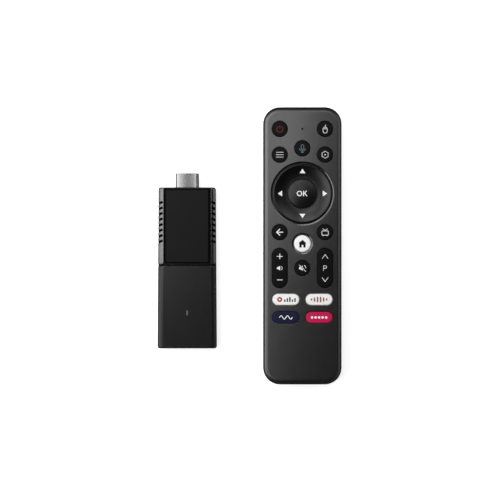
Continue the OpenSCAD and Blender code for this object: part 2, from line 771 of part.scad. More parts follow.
module chip_antennas() {
  color([0.9, 0.9, 0.85]) translate([stick_x, 0, 0]) for (side = [-1, 1])
    box(side * 11 - 1.6, side * 11 + 1.6, radio_y - 1, radio_y + 7, stick_board_top, stick_board_top + 1.2);
}

module status_led() {
  color([0.95, 0.95, 0.85]) translate([stick_x, 0, 0])
    box(-0.8, 0.8, light_y - 0.5, light_y + 0.5, stick_board_top, stick_board_top + 0.7);
}

module light_pipe() {
  color([0.85, 0.87, 0.9, 0.6]) translate([stick_x, 0, 0]) {
    light_slot(0, stick_h - stick_wall - 0.1, stick_h);
    light_slot(0.8, stick_h - stick_wall - 1, stick_h - stick_wall);
    light_slot(0.2, stick_board_top + 0.9, stick_h - stick_wall - 0.9);
  }
}

module power_port_shell() {
  y0 = stick_low_y + 0.2;
  color([0.72, 0.72, 0.74]) translate([stick_x, 0, 0]) difference() {
    port_prism(0, y0, y0 + port_l);
    port_prism(-port_metal, y0 - 1, y0 + port_l - 0.4);
  }
}

module power_port_tongue() {
  y0 = stick_low_y + 1;
  color([0.05, 0.05, 0.05]) translate([stick_x, 0, 0])
    box(-1.9, 1.9, y0, stick_low_y + 0.2 + port_l - 0.4, port_z + 0.2, port_z + 0.8);
}

module board_screws() {
  color([0.6, 0.6, 0.62]) for (p = [board_posts[0], board_posts[3]])
    translate([stick_x + p[0], p[1], 0]) difference() {
      union() {
        disc(0, 0, 1.6, stick_board_top, stick_board_top + 0.9);
        disc(0, 0, 0.8, stick_wall + 0.4, stick_board_top + 0.5);
      }
      for (a = [0, 90]) rotate(a) box(-0.9, 0.9, -0.2, 0.2, stick_board_top + 0.4, stick_board_top + 2);
    }
}

remote_top_shell();
remote_bottom_shell();
battery_cover();
battery_left();
battery_right();
battery_springs();
battery_contacts();
remote_board();
keypad_mat();
remote_chips();
microphone();
infrared_led();
infrared_window();
case_screws();
for (k = ROUND_KEYS) round_key(k);
home_key();
ok_key();
ring_carrier();
direction_ring();
volume_rocker();
channel_rocker();
for (k = SHORTCUTS) shortcut_key(k);
stick_back_shell();
stick_front_shell();
stick_face_panel();
stick_sleeve();
plug_shell();
plug_insulator();
plug_contacts();
stick_board();
processor();
memory_chips();
shield_can();
thermal_pad();
heat_spreader();
radio_module();
chip_antennas();
status_led();
light_pipe();
power_port_shell();
power_port_tongue();
board_screws();
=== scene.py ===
"""Looks for the streaming stick and its voice remote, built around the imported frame.

Shapes are worked out in millimetres, in the frame's axes, and scaled to metres as each mesh is made.
"""

from math import ceil, cos, dist, hypot, pi, radians, sin, tan

import bmesh
import bpy
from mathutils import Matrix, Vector
from mathutils.geometry import delaunay_2d_cdt


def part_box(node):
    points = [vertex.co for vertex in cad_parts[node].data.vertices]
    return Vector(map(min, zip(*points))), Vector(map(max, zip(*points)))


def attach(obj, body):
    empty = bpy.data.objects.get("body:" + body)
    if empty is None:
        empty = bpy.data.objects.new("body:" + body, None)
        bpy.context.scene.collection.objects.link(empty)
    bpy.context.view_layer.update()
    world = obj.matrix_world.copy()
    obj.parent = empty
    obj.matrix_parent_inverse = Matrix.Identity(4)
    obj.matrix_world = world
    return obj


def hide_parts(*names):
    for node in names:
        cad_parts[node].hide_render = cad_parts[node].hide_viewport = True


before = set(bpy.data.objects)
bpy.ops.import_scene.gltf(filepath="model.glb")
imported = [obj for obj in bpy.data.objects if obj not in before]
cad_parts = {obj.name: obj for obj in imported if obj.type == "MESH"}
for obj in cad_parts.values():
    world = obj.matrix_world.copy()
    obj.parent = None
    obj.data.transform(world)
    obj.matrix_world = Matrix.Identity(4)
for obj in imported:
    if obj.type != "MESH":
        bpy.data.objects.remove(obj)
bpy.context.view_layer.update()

MM = 0.001
TURN = 2 * pi


def box_mm(node):
    """Lowest and highest corner of a CAD node, in millimetres."""
    low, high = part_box(node)
    return low / MM, high / MM


def middle(node):
    """The middle of a CAD node's box, in millimetres."""
    return [(a + b) / 2 for a, b in zip(*box_mm(node))]


# --- Sizes, in millimetres ---

top_low, top_high = box_mm("remote_top_shell")
REMOTE_X, REMOTE_Y = middle("remote_top_shell")[:2]
REMOTE_W = top_high.x - top_low.x
REMOTE_L = top_high.y - top_low.y
REMOTE_CORNER = 10.0
FACE_Z = top_high.z
FACE_EDGE = 2.6
FACE_EDGE_IN = 3.1
BASE_EDGE = 4.0
FACE_CROWN = 0.7
SEAM_Z = 9.0
SEAM_LINE = 0.12
WALL = 1.6
CEILING_Z = FACE_Z - 1.55
COVER_T = 1.4
COVER_CLAWS_Y = (-70, -48, -27)
KEY_GAP = 0.2
HOME_GAP = 0.3
KEY_CROWN = 0.1
EASE = 0.1
# A level band round each opening keeps its bevel out of the shading of the face
LEVEL_BAND = 0.2
KEY_EDGE = 0.35
RECESS_SLOPES = (8, 22)
RECESS_W = 1.0
FLANGE = 0.6

ring_low, ring_high = box_mm("direction_ring")
RING_X, RING_Y = middle("direction_ring")[:2]
RING_R = 17.6
RING_HOLE_R = RING_R + 0.5
OK_R = 8.65

stick_low, stick_high = box_mm("stick_back_shell")
STICK_X = middle("stick_back_shell")[0]
STICK_Y0 = stick_low.y
STICK_Y1 = stick_high.y
STICK_W_LOW = stick_high.x - stick_low.x
STICK_W_TOP = 34.2
STICK_H = box_mm("stick_sleeve")[1].z
STICK_SPLIT_Z = STICK_H / 2
STICK_WALL = 1.4
STICK_CORNER = 1.3

# Printed marks stand this far above the key that they are on, and are this thick
MARK_LIFT = 0.025
MARK_T = 0.07
# Sides and grids are divided this finely on the marks, and on the remote's face
MARK_STEP = 0.45
FACE_STEP = 2.03
FACE_GRID = 2.0


# --- Outlines ---

def rounded(cx, cy, w, h, r, n=12):
    """A rectangle with round corners, anticlockwise; with r half its width it has round ends."""
    r = max(min(r, w / 2, h / 2), 0.02)
    points = []
    for quarter, (sx, sy) in enumerate(((1, 1), (-1, 1), (-1, -1), (1, -1))):
        for i in range(n + 1):
            a = TURN * (quarter + i / n) / 4
            p = (cx + sx * (w / 2 - r) + r * cos(a), cy + sy * (h / 2 - r) + r * sin(a))
            if not points or dist(p, points[-1]) > 1e-5:
                points.append(p)
    if dist(points[0], points[-1]) < 1e-5:
        points.pop()
    return points


def beyond_core(x, y, shape, r):
    """How far a place lies from the core of an (x, y, width, height) shape whose corners have radius r."""
    cx, cy, w, h = shape
    dx = max(abs(x - cx) - (w / 2 - r), 0)
    dy = max(abs(y - cy) - (h / 2 - r), 0)
    return hypot(dx, dy)


def circle(cx, cy, r, n=64):
    return [(cx + r * cos(TURN * i / n), cy + r * sin(TURN * i / n)) for i in range(n)]


def arc(cx, cy, r, start, end, n=16):
    """Points along an arc, angles in degrees."""
    angles = [radians(start + (end - start) * i / n) for i in range(n + 1)]
    return [(cx + r * cos(a), cy + r * sin(a)) for a in angles]


def stick_width(y):
    return STICK_W_LOW + (STICK_W_TOP - STICK_W_LOW) * (y - STICK_Y0) / (STICK_Y1 - STICK_Y0)


def stick_outline(y0, y1, in_x=0.0, in_y=0.0, r=STICK_CORNER):
    """The stick's tapering outline between two heights along Y, drawn in at its sides and ends."""
    y0, y1 = y0 + in_y, y1 - in_y
    half_low, half_top = stick_width(y0) / 2 - in_x, stick_width(y1) / 2 - in_x
    corners = ((half_top, y1, 1, 1), (-half_top, y1, -1, 1), (-half_low, y0, -1, -1), (half_low, y0, 1, -1))
    points = []
    for quarter, (x, y, sx, sy) in enumerate(corners):
        for i in range(7):
            a = TURN * (quarter + i / 6) / 4
            points.append((STICK_X + x - sx * r + r * cos(a), y - sy * r + r * sin(a)))
    return points


def quarter_round(r, n=6):
    """(inset, drop) pairs over a rounded edge, from its wall to its face."""
    angles = [TURN / 4 * i / n for i in range(n + 1)]
    return [(r * (1 - cos(a)), r * (1 - sin(a))) for a in angles]


def eased_edge(wide, tight, turn=42, n=5):
    """The same for an edge that turns widely by some degrees below the face, then tightly into the wall."""
    a = radians(turn)
    depth = tight * cos(a) + wide * (1 - cos(a))
    pairs = []
    for i in range(n + 1):
        t = TURN / 4 + (a - TURN / 4) * i / n
        pairs.append((tight * (1 - sin(t)), depth - tight * cos(t)))
    for i in range(1, n + 1):
        t = a * (1 - i / n)
        inset = tight * (1 - sin(a)) + wide * (sin(a) - sin(t))
        pairs.append((inset, wide * (1 - cos(t))))
    return pairs


# --- Meshes ---

class Solid:
    """A mesh being built, in millimetres."""

    def __init__(self):
        self.points = []
        self.faces = []

    def add(self, points):
        """Adds points and gives back their numbers."""
        first = len(self.points)
        self.points += points
        return list(range(first, len(self.points)))

    def ring(self, outline, z):
        """Adds an outline at a height, or at the height that a function of x and y gives."""
        return self.add([(x, y, z(x, y) if callable(z) else z) for x, y in outline])

    def upright_ring(self, outline, y, z):
        """Adds an (x, z) outline that stands across the stick."""
        return self.add([(STICK_X + x, y, z + dz) for x, dz in outline])

    def bridge(self, a, b):
        for i in range(len(a)):
            j = (i + 1) % len(a)
            self.faces.append((a[i], a[j], b[j], b[i]))

    def loft(self, rings, capped=True):
        """Joins rings in turn, with a face over each end."""
        for a, b in zip(rings, rings[1:]):
            self.bridge(a, b)
        if capped:
            self.faces.append(tuple(reversed(rings[0])))
            self.faces.append(tuple(rings[-1]))

    def fill(self, outlines, z, holes=(), grid=None, keep_out=None):
        """Triangles over the union of the outlines less the holes, with a grid of points inside."""
        flat, edges, loops = [], [], []
        for loop in list(outlines) + list(holes):
            first = len(flat)
            flat += loop
            ids = list(range(first, len(flat)))
            edges += list(zip(ids, ids[1:] + ids[:1]))
            loops.append(ids)
        if grid:
            xs, ys = [p[0] for p in flat], [p[1] for p in flat]
            for i in range(1, int((max(xs) - min(xs)) / grid) + 1):
                for j in range(1, int((max(ys) - min(ys)) / grid) + 1):
                    p = (min(xs) + i * grid, min(ys) + j * grid)
                    if keep_out is None or not keep_out(*p):
                        flat.append(p)
        result = delaunay_2d_cdt([Vector(p) for p in flat], edges, loops, 0, 1e-6)
        verts, faces, origins = result[0], result[2], result[5]
        inside = set(range(len(outlines)))
        kept = [f for f, o in zip(faces, origins) if o and set(o) <= inside]
        used = sorted({i for f in kept for i in f})
        new = {i: len(self.points) + k for k, i in enumerate(used)}
        self.ring([(verts[i].x, verts[i].y) for i in used], z)
        triangles = [tuple(new[i] for i in f) for f in kept]
        self.faces += triangles
        return triangles

    def plate(self, outlines, z, thickness, holes=(), grid=None):
        """A closed plate whose top follows z."""
        first = len(self.faces)
        top = self.fill(outlines, z, holes, grid)
        del self.faces[first:]
        sides = {side: None for f in top for side in zip(f, f[1:] + f[:1])}
        ids = sorted({i for f in top for i in f})
        low = {i: len(self.points) + k for k, i in enumerate(ids)}
        self.points += [(self.points[i][0], self.points[i][1], self.points[i][2] - thickness) for i in ids]
        self.faces += top
        self.faces += [tuple(low[i] for i in reversed(f)) for f in top]
        self.faces += [(b, a, low[a], low[b]) for a, b in sides if (b, a) not in sides]


def make(name, solid, body=None, material=None, replaces=(), sharp=35, weighted=True):
    """Turns a Solid into a piece that rides on a body, or without a material into one still to be cut."""
    mesh = bpy.data.meshes.new(name)
    mesh.from_pydata([Vector(p) * MM for p in solid.points], [], solid.faces)
    work = bmesh.new()
    work.from_mesh(mesh)
    bmesh.ops.remove_doubles(work, verts=work.verts, dist=1e-7)
    bmesh.ops.dissolve_degenerate(work, edges=work.edges, dist=1e-8)
    bmesh.ops.recalc_face_normals(work, faces=work.faces)
    work.to_mesh(mesh)
    work.free()
    piece = bpy.data.objects.new(name, mesh)
    bpy.context.scene.collection.objects.link(piece)
    if material:
        mesh.materials.append(material)
        finish_piece(piece, body, replaces, sharp, weighted)
    return piece


def finish_piece(piece, body, replaces=(), sharp=35, weighted=True):
    """Smooth shading up to the sharp angle, and the piece's place in the frame."""
    piece.data.shade_smooth()
    piece.data.set_sharp_from_angle(angle=radians(sharp))
    if weighted:
        normals = piece.modifiers.new("even_normals", "WEIGHTED_NORMAL")
        normals.keep_sharp = True
    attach(piece, body)
    if replaces:
        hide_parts(*replaces)


def prism(outline, z0, z1):
    """A straight block between two heights."""
    s = Solid()
    s.loft([s.ring(outline, z0), s.ring(outline, z1)])
    return s


def tool_box(x0, x1, y0, y1, z0, z1, turn=0.0, about=(0, 0)):
    """A box, turned about a vertical line, for a boolean."""
    corners = [(x0, y0), (x1, y0), (x1, y1), (x0, y1)]
    c, s = cos(radians(turn)), sin(radians(turn))
    ax, ay = about
    turned = [(ax + (x - ax) * c - (y - ay) * s, ay + (x - ax) * s + (y - ay) * c) for x, y in corners]
    return prism(turned, z0, z1)


def merge(solids):
    """Several solids that don't meet, as one."""
    whole = Solid()
    for s in solids:
        first = len(whole.points)
        whole.points += s.points
        whole.faces += [tuple(i + first for i in f) for f in s.faces]
    return whole


def carve(piece, solid, operation="DIFFERENCE"):
    """Applies one boolean with a solid to a piece."""
    combine(piece, make("tool", solid), operation)


def combine(piece, tool, operation):
    """Applies one boolean to a piece and clears the tool away."""
    cut = piece.modifiers.new("cut", "BOOLEAN")
    cut.operation = operation
    cut.solver = "EXACT"
    cut.object = tool
    apply_modifiers(piece)
    bpy.data.objects.remove(tool)


def apply_modifiers(piece):
    shaped = piece.evaluated_get(bpy.context.evaluated_depsgraph_get())
    mesh = bpy.data.meshes.new_from_object(shaped)
    old = piece.data
    piece.modifiers.clear()
    piece.data = mesh
    bpy.data.meshes.remove(old)


def soften(piece, width, angle):
    """Rounds a piece's hard edges a little and applies it."""
    bevel = piece.modifiers.new("soft_edges", "BEVEL")
    bevel.width = width * MM
    bevel.segments = 2
    bevel.limit_method = "ANGLE"
    bevel.angle_limit = radians(angle)
    apply_modifiers(piece)


# --- Materials ---

def set_stops(elements, stops):
    """Gives a colour ramp its stops: (position, colour or grey level) pairs."""
    while len(elements) < len(stops):
        elements.new(0.5)
    for element, (position, level) in zip(elements, stops):
        element.position = position
        colour = (level,) * 3 if isinstance(level, (int, float)) else level
        element.color = (*colour, 1)


class Nodes:
    """Short calls for a material's nodes."""

    def __init__(self, name):
        self.material = bpy.data.materials.new(name)
        self.material.use_nodes = True
        self.tree = self.material.node_tree
        self.shader = self.tree.nodes["Principled BSDF"]
        self.place = self.tree.nodes.new("ShaderNodeTexCoord").outputs["Object"]

    def set(self, node=None, **values):
        """Sets inputs of a node, or of the shader; an underscore stands for a space in an input's name."""
        for key, value in values.items():
            (node or self.shader).inputs[key.replace("_", " ")].default_value = value

    def node(self, kind, **values):
        node = self.tree.nodes.new("ShaderNode" + kind)
        self.set(node, **values)
        return node

    def wire(self, source, node, key):
        self.tree.links.new(source, node.inputs[key])

    def noise(self, scale, detail=3.0, roughness=0.5, stretch=None):
        node = self.node("TexNoise", Scale=scale, Detail=detail, Roughness=roughness)
        source = self.place
        if stretch:
            mapping = self.node("Mapping", Scale=stretch)
            self.wire(source, mapping, "Vector")
            source = mapping.outputs["Vector"]
        self.wire(source, node, "Vector")
        return node.outputs["Fac"]

    def ramp(self, source, stops):
        node = self.node("ValToRGB")
        set_stops(node.color_ramp.elements, stops)
        self.wire(source, node, "Fac")
        return node.outputs["Color"]

    def link(self, source, key):
        self.tree.links.new(source, self.shader.inputs[key])

    def bump(self, source, height_mm):
        """A bump of that height on the shader's normal."""
        node = self.node("Bump", Distance=height_mm * MM, Strength=1.0)
        self.wire(source, node, "Height")
        self.link(node.outputs["Normal"], "Normal")


def scaled(colour, k):
    return tuple(min(c * k, 1) for c in colour)


def moulded(name, colour, roughness, grain_mm=0.006, spread=0.06, vary=0.12, specular=0.5):
    """Moulded plastic: a fine spark-eroded grain, and slight changes of tone and sheen."""
    m = Nodes(name)
    m.set(Specular_IOR_Level=specular)
    tone = m.noise(60, 4)
    m.link(m.ramp(tone, [(0.3, scaled(colour, 1 - vary)), (0.7, scaled(colour, 1 + vary))]), "Base Color")
    sheen = m.noise(300, 5, 0.6)
    m.link(m.ramp(sheen, [(0.3, roughness - spread), (0.7, roughness + spread)]), "Roughness")
    m.bump(m.noise(4500, 2, 0.6), grain_mm)
    return m.material


def brushed(name, colour, roughness):
    """Rolled or brushed metal, its fine lines running along Y."""
    m = Nodes(name)
    m.set(Metallic=1.0)
    lines = m.noise(250, 3, 0.5, stretch=(25, 1, 25))
    m.link(m.ramp(lines, [(0.3, scaled(colour, 0.96)), (0.7, scaled(colour, 1.02))]), "Base Color")
    m.link(m.ramp(lines, [(0.3, roughness - 0.03), (0.7, roughness + 0.04)]), "Roughness")
    m.bump(lines, 0.0001)
    return m.material


def lacquered(name, colour, roughness):
    """Metallic lacquer: fine flake under a smooth film."""
    m = Nodes(name)
    m.set(Metallic=1.0)
    flake = m.noise(3000, 2, 0.6)
    m.link(m.ramp(flake, [(0.35, scaled(colour, 0.94)), (0.65, scaled(colour, 1.05))]), "Base Color")
    m.link(m.ramp(m.noise(300, 4), [(0.3, roughness - 0.03), (0.7, roughness + 0.03)]), "Roughness")
    m.bump(flake, 0.0002)
    return m.material


def printed(name, colour):
    """Screen-printed ink: a slightly uneven film."""
    m = Nodes(name)
    m.set(Specular_IOR_Level=0.08)
    film = m.noise(2500, 3)
    m.link(m.ramp(film, [(0.35, scaled(colour, 0.93)), (0.65, colour)]), "Base Color")
    m.link(m.ramp(film, [(0.3, 0.42), (0.7, 0.58)]), "Roughness")
    m.bump(film, 0.004)
    return m.material


def board_material():
    """Green solder mask over faint copper tracks."""
    m = Nodes("board_mask")
    m.set(Coat_Weight=0.5, Coat_Roughness=0.15)
    tracks = m.node("TexBrick", Scale=260, Color1=(0.01, 0.09, 0.035, 1), Color2=(0.012, 0.11, 0.045, 1),
                    Mortar=(0.03, 0.18, 0.07, 1), Mortar_Size=0.03)
    m.wire(m.place, tracks, "Vector")
    m.link(tracks.outputs["Color"], "Base Color")
    m.link(m.ramp(m.noise(400), [(0.3, 0.3), (0.7, 0.45)]), "Roughness")
    m.bump(tracks.outputs["Fac"], 0.02)
    return m.material


def jacket_material(node):
    """A battery's shrink jacket: a dark wrap with a bright band towards one end."""
    low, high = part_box(node)
    m = Nodes(node + "_jacket")
    m.set(Coat_Weight=0.6, Coat_Roughness=0.12)
    split = m.node("SeparateXYZ")
    m.wire(m.place, split, "Vector")
    along = m.node("MapRange", From_Min=low.y, From_Max=high.y)
    m.wire(split.outputs["Y"], along, "Value")
    green, gold = (0.02, 0.16, 0.09), (0.72, 0.55, 0.12)
    bands = [(0.0, 0.5), (0.03, green), (0.66, green), (0.68, gold), (0.96, gold), (0.985, 0.5)]
    m.link(m.ramp(along.outputs["Result"], bands), "Base Color")
    m.link(m.ramp(m.noise(500), [(0.3, 0.25), (0.7, 0.38)]), "Roughness")
    m.bump(m.noise(900), 0.01)
    return m.material


CASE = moulded("case_plastic", (0.0036, 0.0036, 0.0038), 0.32, spread=0.015, vary=0.05, specular=1.0)
POLISHED = moulded("polished_bevel", (0.002, 0.002, 0.002), 0.13, grain_mm=0.0003, spread=0.02,
                   specular=1.0)
BASE = moulded("base_plastic", (0.005, 0.005, 0.0052), 0.36, spread=0.02, vary=0.05, specular=1.0)
KEY = moulded("key_plastic", (0.002, 0.002, 0.0021), 0.5, spread=0.03, vary=0.05, specular=0.1)
OK_KEY = moulded("ok_key_plastic", (0.0018, 0.0018, 0.0019), 0.32, spread=0.02, vary=0.05, specular=0.32)
RING = moulded("ring_plastic", (0.0012, 0.0012, 0.0013), 0.25, grain_mm=0.0012, spread=0.02, vary=0.04,
               specular=0.36)
WHITE_KEY = moulded("white_key_plastic", (0.92, 0.92, 0.91), 0.4, vary=0.02, specular=0.3)
NAVY_KEY = moulded("navy_key_plastic", (0.008, 0.009, 0.038), 0.5, vary=0.05, specular=0.15)
CRIMSON_KEY = moulded("crimson_key_plastic", (0.54, 0.009, 0.08), 0.5, vary=0.05, specular=0.15)
SLEEVE = moulded("sleeve_plastic", (0.0095, 0.0095, 0.0097), 0.23, spread=0.015, vary=0.04, specular=0.32)
RAIL = lacquered("rail_lacquer", (0.105, 0.105, 0.107), 0.24)
PANEL = moulded("panel_plastic", (0.0055, 0.0055, 0.0057), 0.4, spread=0.02, vary=0.04, specular=0.09)
DARK = moulded("insulator_plastic", (0.003, 0.003, 0.003), 0.6, specular=0.2)
# Near-black matte for the faces of the stick's groove and vent slots: painted shade in these recesses
RECESS_SHADE = moulded("painted_recess_shade", (0.0015, 0.0015, 0.0016), 0.6, spread=0.03, specular=0.05)
CHIP = moulded("chip_resin", (0.012, 0.012, 0.013), 0.6, grain_mm=0.01)
RUBBER = moulded("mat_rubber", (0.035, 0.035, 0.036), 0.7)
PAD = moulded("thermal_pad", (0.25, 0.3, 0.4), 0.7)
CERAMIC = moulded("antenna_ceramic", (0.75, 0.72, 0.62), 0.3)
WINDOW = moulded("infrared_filter", (0.012, 0.003, 0.006), 0.12, grain_mm=0.001)
EMITTER = moulded("emitter_epoxy", (0.06, 0.04, 0.1), 0.12, grain_mm=0.001)
LED = moulded("led_package", (0.8, 0.78, 0.6), 0.35)
LENS = moulded("light_lens", (0.13, 0.13, 0.13), 0.25, grain_mm=0.001)
STEEL = brushed("plug_steel", (0.25, 0.25, 0.253), 0.19)
SPRING = brushed("spring_steel", (0.75, 0.75, 0.77), 0.2)
SCREW = brushed("screw_steel", (0.5, 0.5, 0.52), 0.35)
TIN = brushed("shield_tin", (0.66, 0.66, 0.66), 0.38)
GOLD = brushed("contact_gold", (0.9, 0.66, 0.28), 0.22)
BOARD = board_material()
WHITE_INK = printed("white_ink", (0.9, 0.9, 0.9))
BLACK_INK = printed("black_ink", (0.003, 0.003, 0.003))
RED_INK = printed("dim_red_ink", (0.17, 0.03, 0.02))
BLUE_INK = printed("blue_ink", (0.17, 0.28, 0.36))
BROWN_INK = printed("brown_ink", (0.3, 0.1, 0.06))
SCARLET_INK = printed("scarlet_ink", (0.42, 0.03, 0.03))


# --- Remote ---

def face_height(x, y):
    """The key face is very slightly crowned across its width."""
    half = REMOTE_W / 2 - FACE_EDGE_IN
    return FACE_Z - FACE_CROWN * min(abs(x - REMOTE_X) / half, 1) ** 2


class Opening:
    """A round-ended hole in the key face, whose bevel goes from one slope to another, in degrees."""

    def __init__(self, x, y, w, h, bevel=0.06, slopes=(45, 45), steps=1):
        self.x, self.y, self.w, self.h = x, y, w, h
        self.bevel, self.steps = bevel, steps
        self.reach = bevel + EASE + LEVEL_BAND
        self.slope_out, self.slope_in = (tan(radians(a)) for a in slopes)

    def outline(self, grow):
        w, h = self.w + 2 * grow, self.h + 2 * grow
        return rounded(self.x, self.y, w, h, min(w, h) / 2, 16 if min(w, h) < 20 else 32)

    def rim(self):
        """(grow, drop) pairs from the face, over the eased edge and the bevel, to the wall of the hole."""
        pairs = [(self.reach, 0)]
        pairs += [(self.bevel + EASE * (1 - u), EASE * self.slope_out * u * u / 2) for u in (0, 0.5, 1)]
        start = pairs[-1][1]
        for k in range(1, self.steps + 1):
            t = k / self.steps
            fall = self.bevel * (self.slope_out * t + (self.slope_in - self.slope_out) * t * t / 2)
            pairs.append((self.bevel * (1 - t) + 0.03 * t, start + fall))
        return pairs + [(0, pairs[-1][1] + 0.06)]

    def near(self, x, y, margin):
        r = min(self.w, self.h) / 2
        return beyond_core(x, y, (self.x, self.y, self.w, self.h), r) < r + self.bevel + margin


def key_shape(node):
    """(x, y, width, height) of a key's cap, without its flange."""
    low, high = box_mm(node)
    cut_w, cut_h = (ROCKER_AXLE_ENDS, 0) if node in ROCKERS else (2 * FLANGE, 2 * FLANGE)
    return *middle(node)[:2], high.x - low.x - cut_w, high.y - low.y - cut_h


SMALL_KEYS = ["power_key", "mouse_key", "voice_key", "menu_key", "settings_key", "back_key", "tv_key",
              "mute_key"]
SHORTCUTS = ["shortcut_key_%d" % i for i in (1, 2, 3, 4)]
ROCKERS = ["volume_rocker", "channel_rocker"]
# How much wider a rocker's axle is than its cap
ROCKER_AXLE_ENDS = 2.6


def face_openings():
    openings = []
    for node in SMALL_KEYS + SHORTCUTS + ROCKERS:
        x, y, w, h = key_shape(node)
        openings.append(Opening(x, y, w + 2 * KEY_GAP, h + 2 * KEY_GAP))
    x, y, w, h = key_shape("home_key")
    openings.append(Opening(x, y, w + 2 * HOME_GAP, h + 2 * HOME_GAP, RECESS_W, RECESS_SLOPES, 6))
    openings.append(Opening(RING_X, RING_Y, 2 * RING_HOLE_R, 2 * RING_HOLE_R, RECESS_W, RECESS_SLOPES, 6))
    openings.append(Opening(*middle("microphone")[:2], 1.2, 1.2, 0.02))
    return openings


def remote_outline(inset):
    """The remote's outline, with its straight sides divided so that they follow the crown of the face."""
    w, length = REMOTE_W - 2 * inset, REMOTE_L - 2 * inset
    return divided(rounded(REMOTE_X, REMOTE_Y, w, length, REMOTE_CORNER - inset, 16), FACE_STEP)


def remote_top():
    """The upper casing: rounded edge, key openings with eased rims, and its inner face."""
    s = Solid()
    openings = face_openings()
    rings = [s.ring(remote_outline(0), z) for z in (SEAM_Z + SEAM_LINE, FACE_Z - FACE_EDGE - FACE_CROWN)]
    for inset, drop in quarter_round(FACE_EDGE, 10)[1:]:
        outline = remote_outline(inset * FACE_EDGE_IN / FACE_EDGE)
        rings.append(s.ring(outline, lambda x, y: face_height(x, y) - drop))
    s.loft(rings, capped=False)

    def crowded(x, y):
        shape = REMOTE_X, REMOTE_Y, REMOTE_W - 2 * FACE_EDGE_IN, REMOTE_L - 2 * FACE_EDGE_IN
        corner = REMOTE_CORNER - FACE_EDGE_IN
        return beyond_core(x, y, shape, corner) > corner - 0.7 or any(o.near(x, y, 0.6) for o in openings)

    holes = [o.outline(o.reach) for o in openings]
    s.fill([remote_outline(FACE_EDGE_IN)], face_height, holes, FACE_GRID, crowded)
    s.fill([remote_outline(WALL)], CEILING_Z, [o.outline(0) for o in openings])
    for o in openings:
        rim = [s.ring(o.outline(grow), lambda x, y: face_height(x, y) - drop) for grow, drop in o.rim()]
        rim.append(s.ring(o.outline(0), CEILING_Z))
        s.loft(rim, capped=False)
    lip = [s.ring(remote_outline(WALL), z) for z in (CEILING_Z, SEAM_Z + SEAM_LINE)]
    s.loft(lip, capped=False)
    s.bridge(rings[0], lip[-1])
    piece = make("remote_top_casing", s)
    carve(piece, window_tool())
    piece.data.materials.append(CASE)
    piece.data.materials.append(POLISHED)
    home_x, home_y, home_w = key_shape("home_key")[:3]
    for face in piece.data.polygons:
        x, y, z = face.center / MM
        from_ring = dist((x, y), (RING_X, RING_Y)) - RING_HOLE_R
        from_home = dist((x, y), (home_x, home_y)) - home_w / 2
        on_bevel = -0.1 < from_ring < RECESS_W or 0 < from_home < RECESS_W + 0.3
        face.material_index = 1 if on_bevel and z > CEILING_Z + 0.3 and face.normal.z < 0.99 else 0
    finish_piece(piece, "remote", ["remote_top_shell"], sharp=20)


def window_tool():
    """The hole for the face of the infrared window, which is smaller than the window's flange."""
    low, high = box_mm("infrared_window")
    mid_z = middle("infrared_window")[2]
    return tool_box(low.x + 0.9, high.x - 0.9, high.y - 3, high.y + 1, mid_z - 2.6, mid_z + 2.6)


def rounded_base():
    """The lower casing's outer form, from its rounded underside up to the seam."""
    s = Solid()
    rings = [s.ring(remote_outline(i), drop) for i, drop in reversed(quarter_round(BASE_EDGE, 10))]
    rings.append(s.ring(remote_outline(0), SEAM_Z))
    s.loft(rings)
    return s


def centred_box(half, y0, y1, z0, z1):
    """A box for a boolean, as far to one side of the remote's middle as to the other."""
    return tool_box(REMOTE_X - half, REMOTE_X + half, y0, y1, z0, z1)


def remote_bottom():
    """The lower casing: a rounded tray with the battery bay and the recess for its cover."""
    cover_low, cover_high = box_mm("battery_cover")
    piece = make("remote_lower_casing", rounded_base())
    carve(piece, prism(remote_outline(WALL), 3.0, SEAM_Z + 1))
    cells_low, cells_high = box_mm("battery_left")[0], box_mm("battery_right")[1]
    x0, x1 = cells_low.x - 0.3, cells_high.x + 0.3
    y0, y1 = (corner.y for corner in box_mm("battery_contacts"))
    roof = cells_high.z + 0.2
    carve(piece, tool_box(x0 - 1, x1 + 1, y0 - 1, y1 + 1, 2.0, roof + 0.8), "UNION")
    carve(piece, tool_box(x0, x1, y0, y1, -1, roof))
    half = (cover_high.x - cover_low.x) / 2 - 0.8
    shelf_z = 1.7
    lip_y = REMOTE_Y - REMOTE_L / 2 + 2.2
    carve(piece, centred_box(half, cover_low.y - 1, cover_high.y - 1.2, -1, shelf_z))
    carve(piece, centred_box(half + 1, cover_low.y - 1, lip_y, -1, SEAM_Z - 2.8))
    carve(piece, centred_box(half + 1, cover_low.y - 1, cover_high.y - 3.4, 0.7, shelf_z))
    carve(piece, centred_box(5.2, cover_high.y - 2, cover_high.y + 0.2, 0.7, shelf_z))
    carve(piece, window_tool())
    piece.data.materials.append(BASE)
    finish_piece(piece, "remote", ["remote_bottom_shell"], sharp=32)


def battery_cover():
    """The sliding cover: it carries the casing's rounded end, and has a thumb grip near its latch."""
    low, high = box_mm("battery_cover")
    half = (high.x - low.x) / 2 - 1
    lip_y = REMOTE_Y - REMOTE_L / 2 + 2
    piece = make("battery_cover_slide", rounded_base())
    carve(piece, centred_box(half, low.y - 1, high.y - 1.4, -1, COVER_T), "INTERSECT")
    end = make("cover_end", rounded_base())
    carve(end, centred_box(half + 1, low.y - 1, lip_y, -1, SEAM_Z - 3), "INTERSECT")
    combine(piece, end, "UNION")
    for y in COVER_CLAWS_Y:
        carve(piece, centred_box(half + 1, y - 4, y + 4, 0.8, COVER_T - 0.01), "UNION")
    carve(piece, centred_box(5, high.y - 2.4, high.y, 0.8, COVER_T - 0.01), "UNION")
    grip_y, step = high.y - 1.4 - 5.2, 1.6
    grip = [centred_box(6 - i, grip_y - step * i - 0.8, grip_y - step * i, -1, 0.4) for i in range(5)]
    carve(piece, merge(grip))
    soften(piece, 0.1, angle=60)
    piece.data.materials.append(BASE)
    finish_piece(piece, "battery_cover", ["battery_cover"], sharp=32)


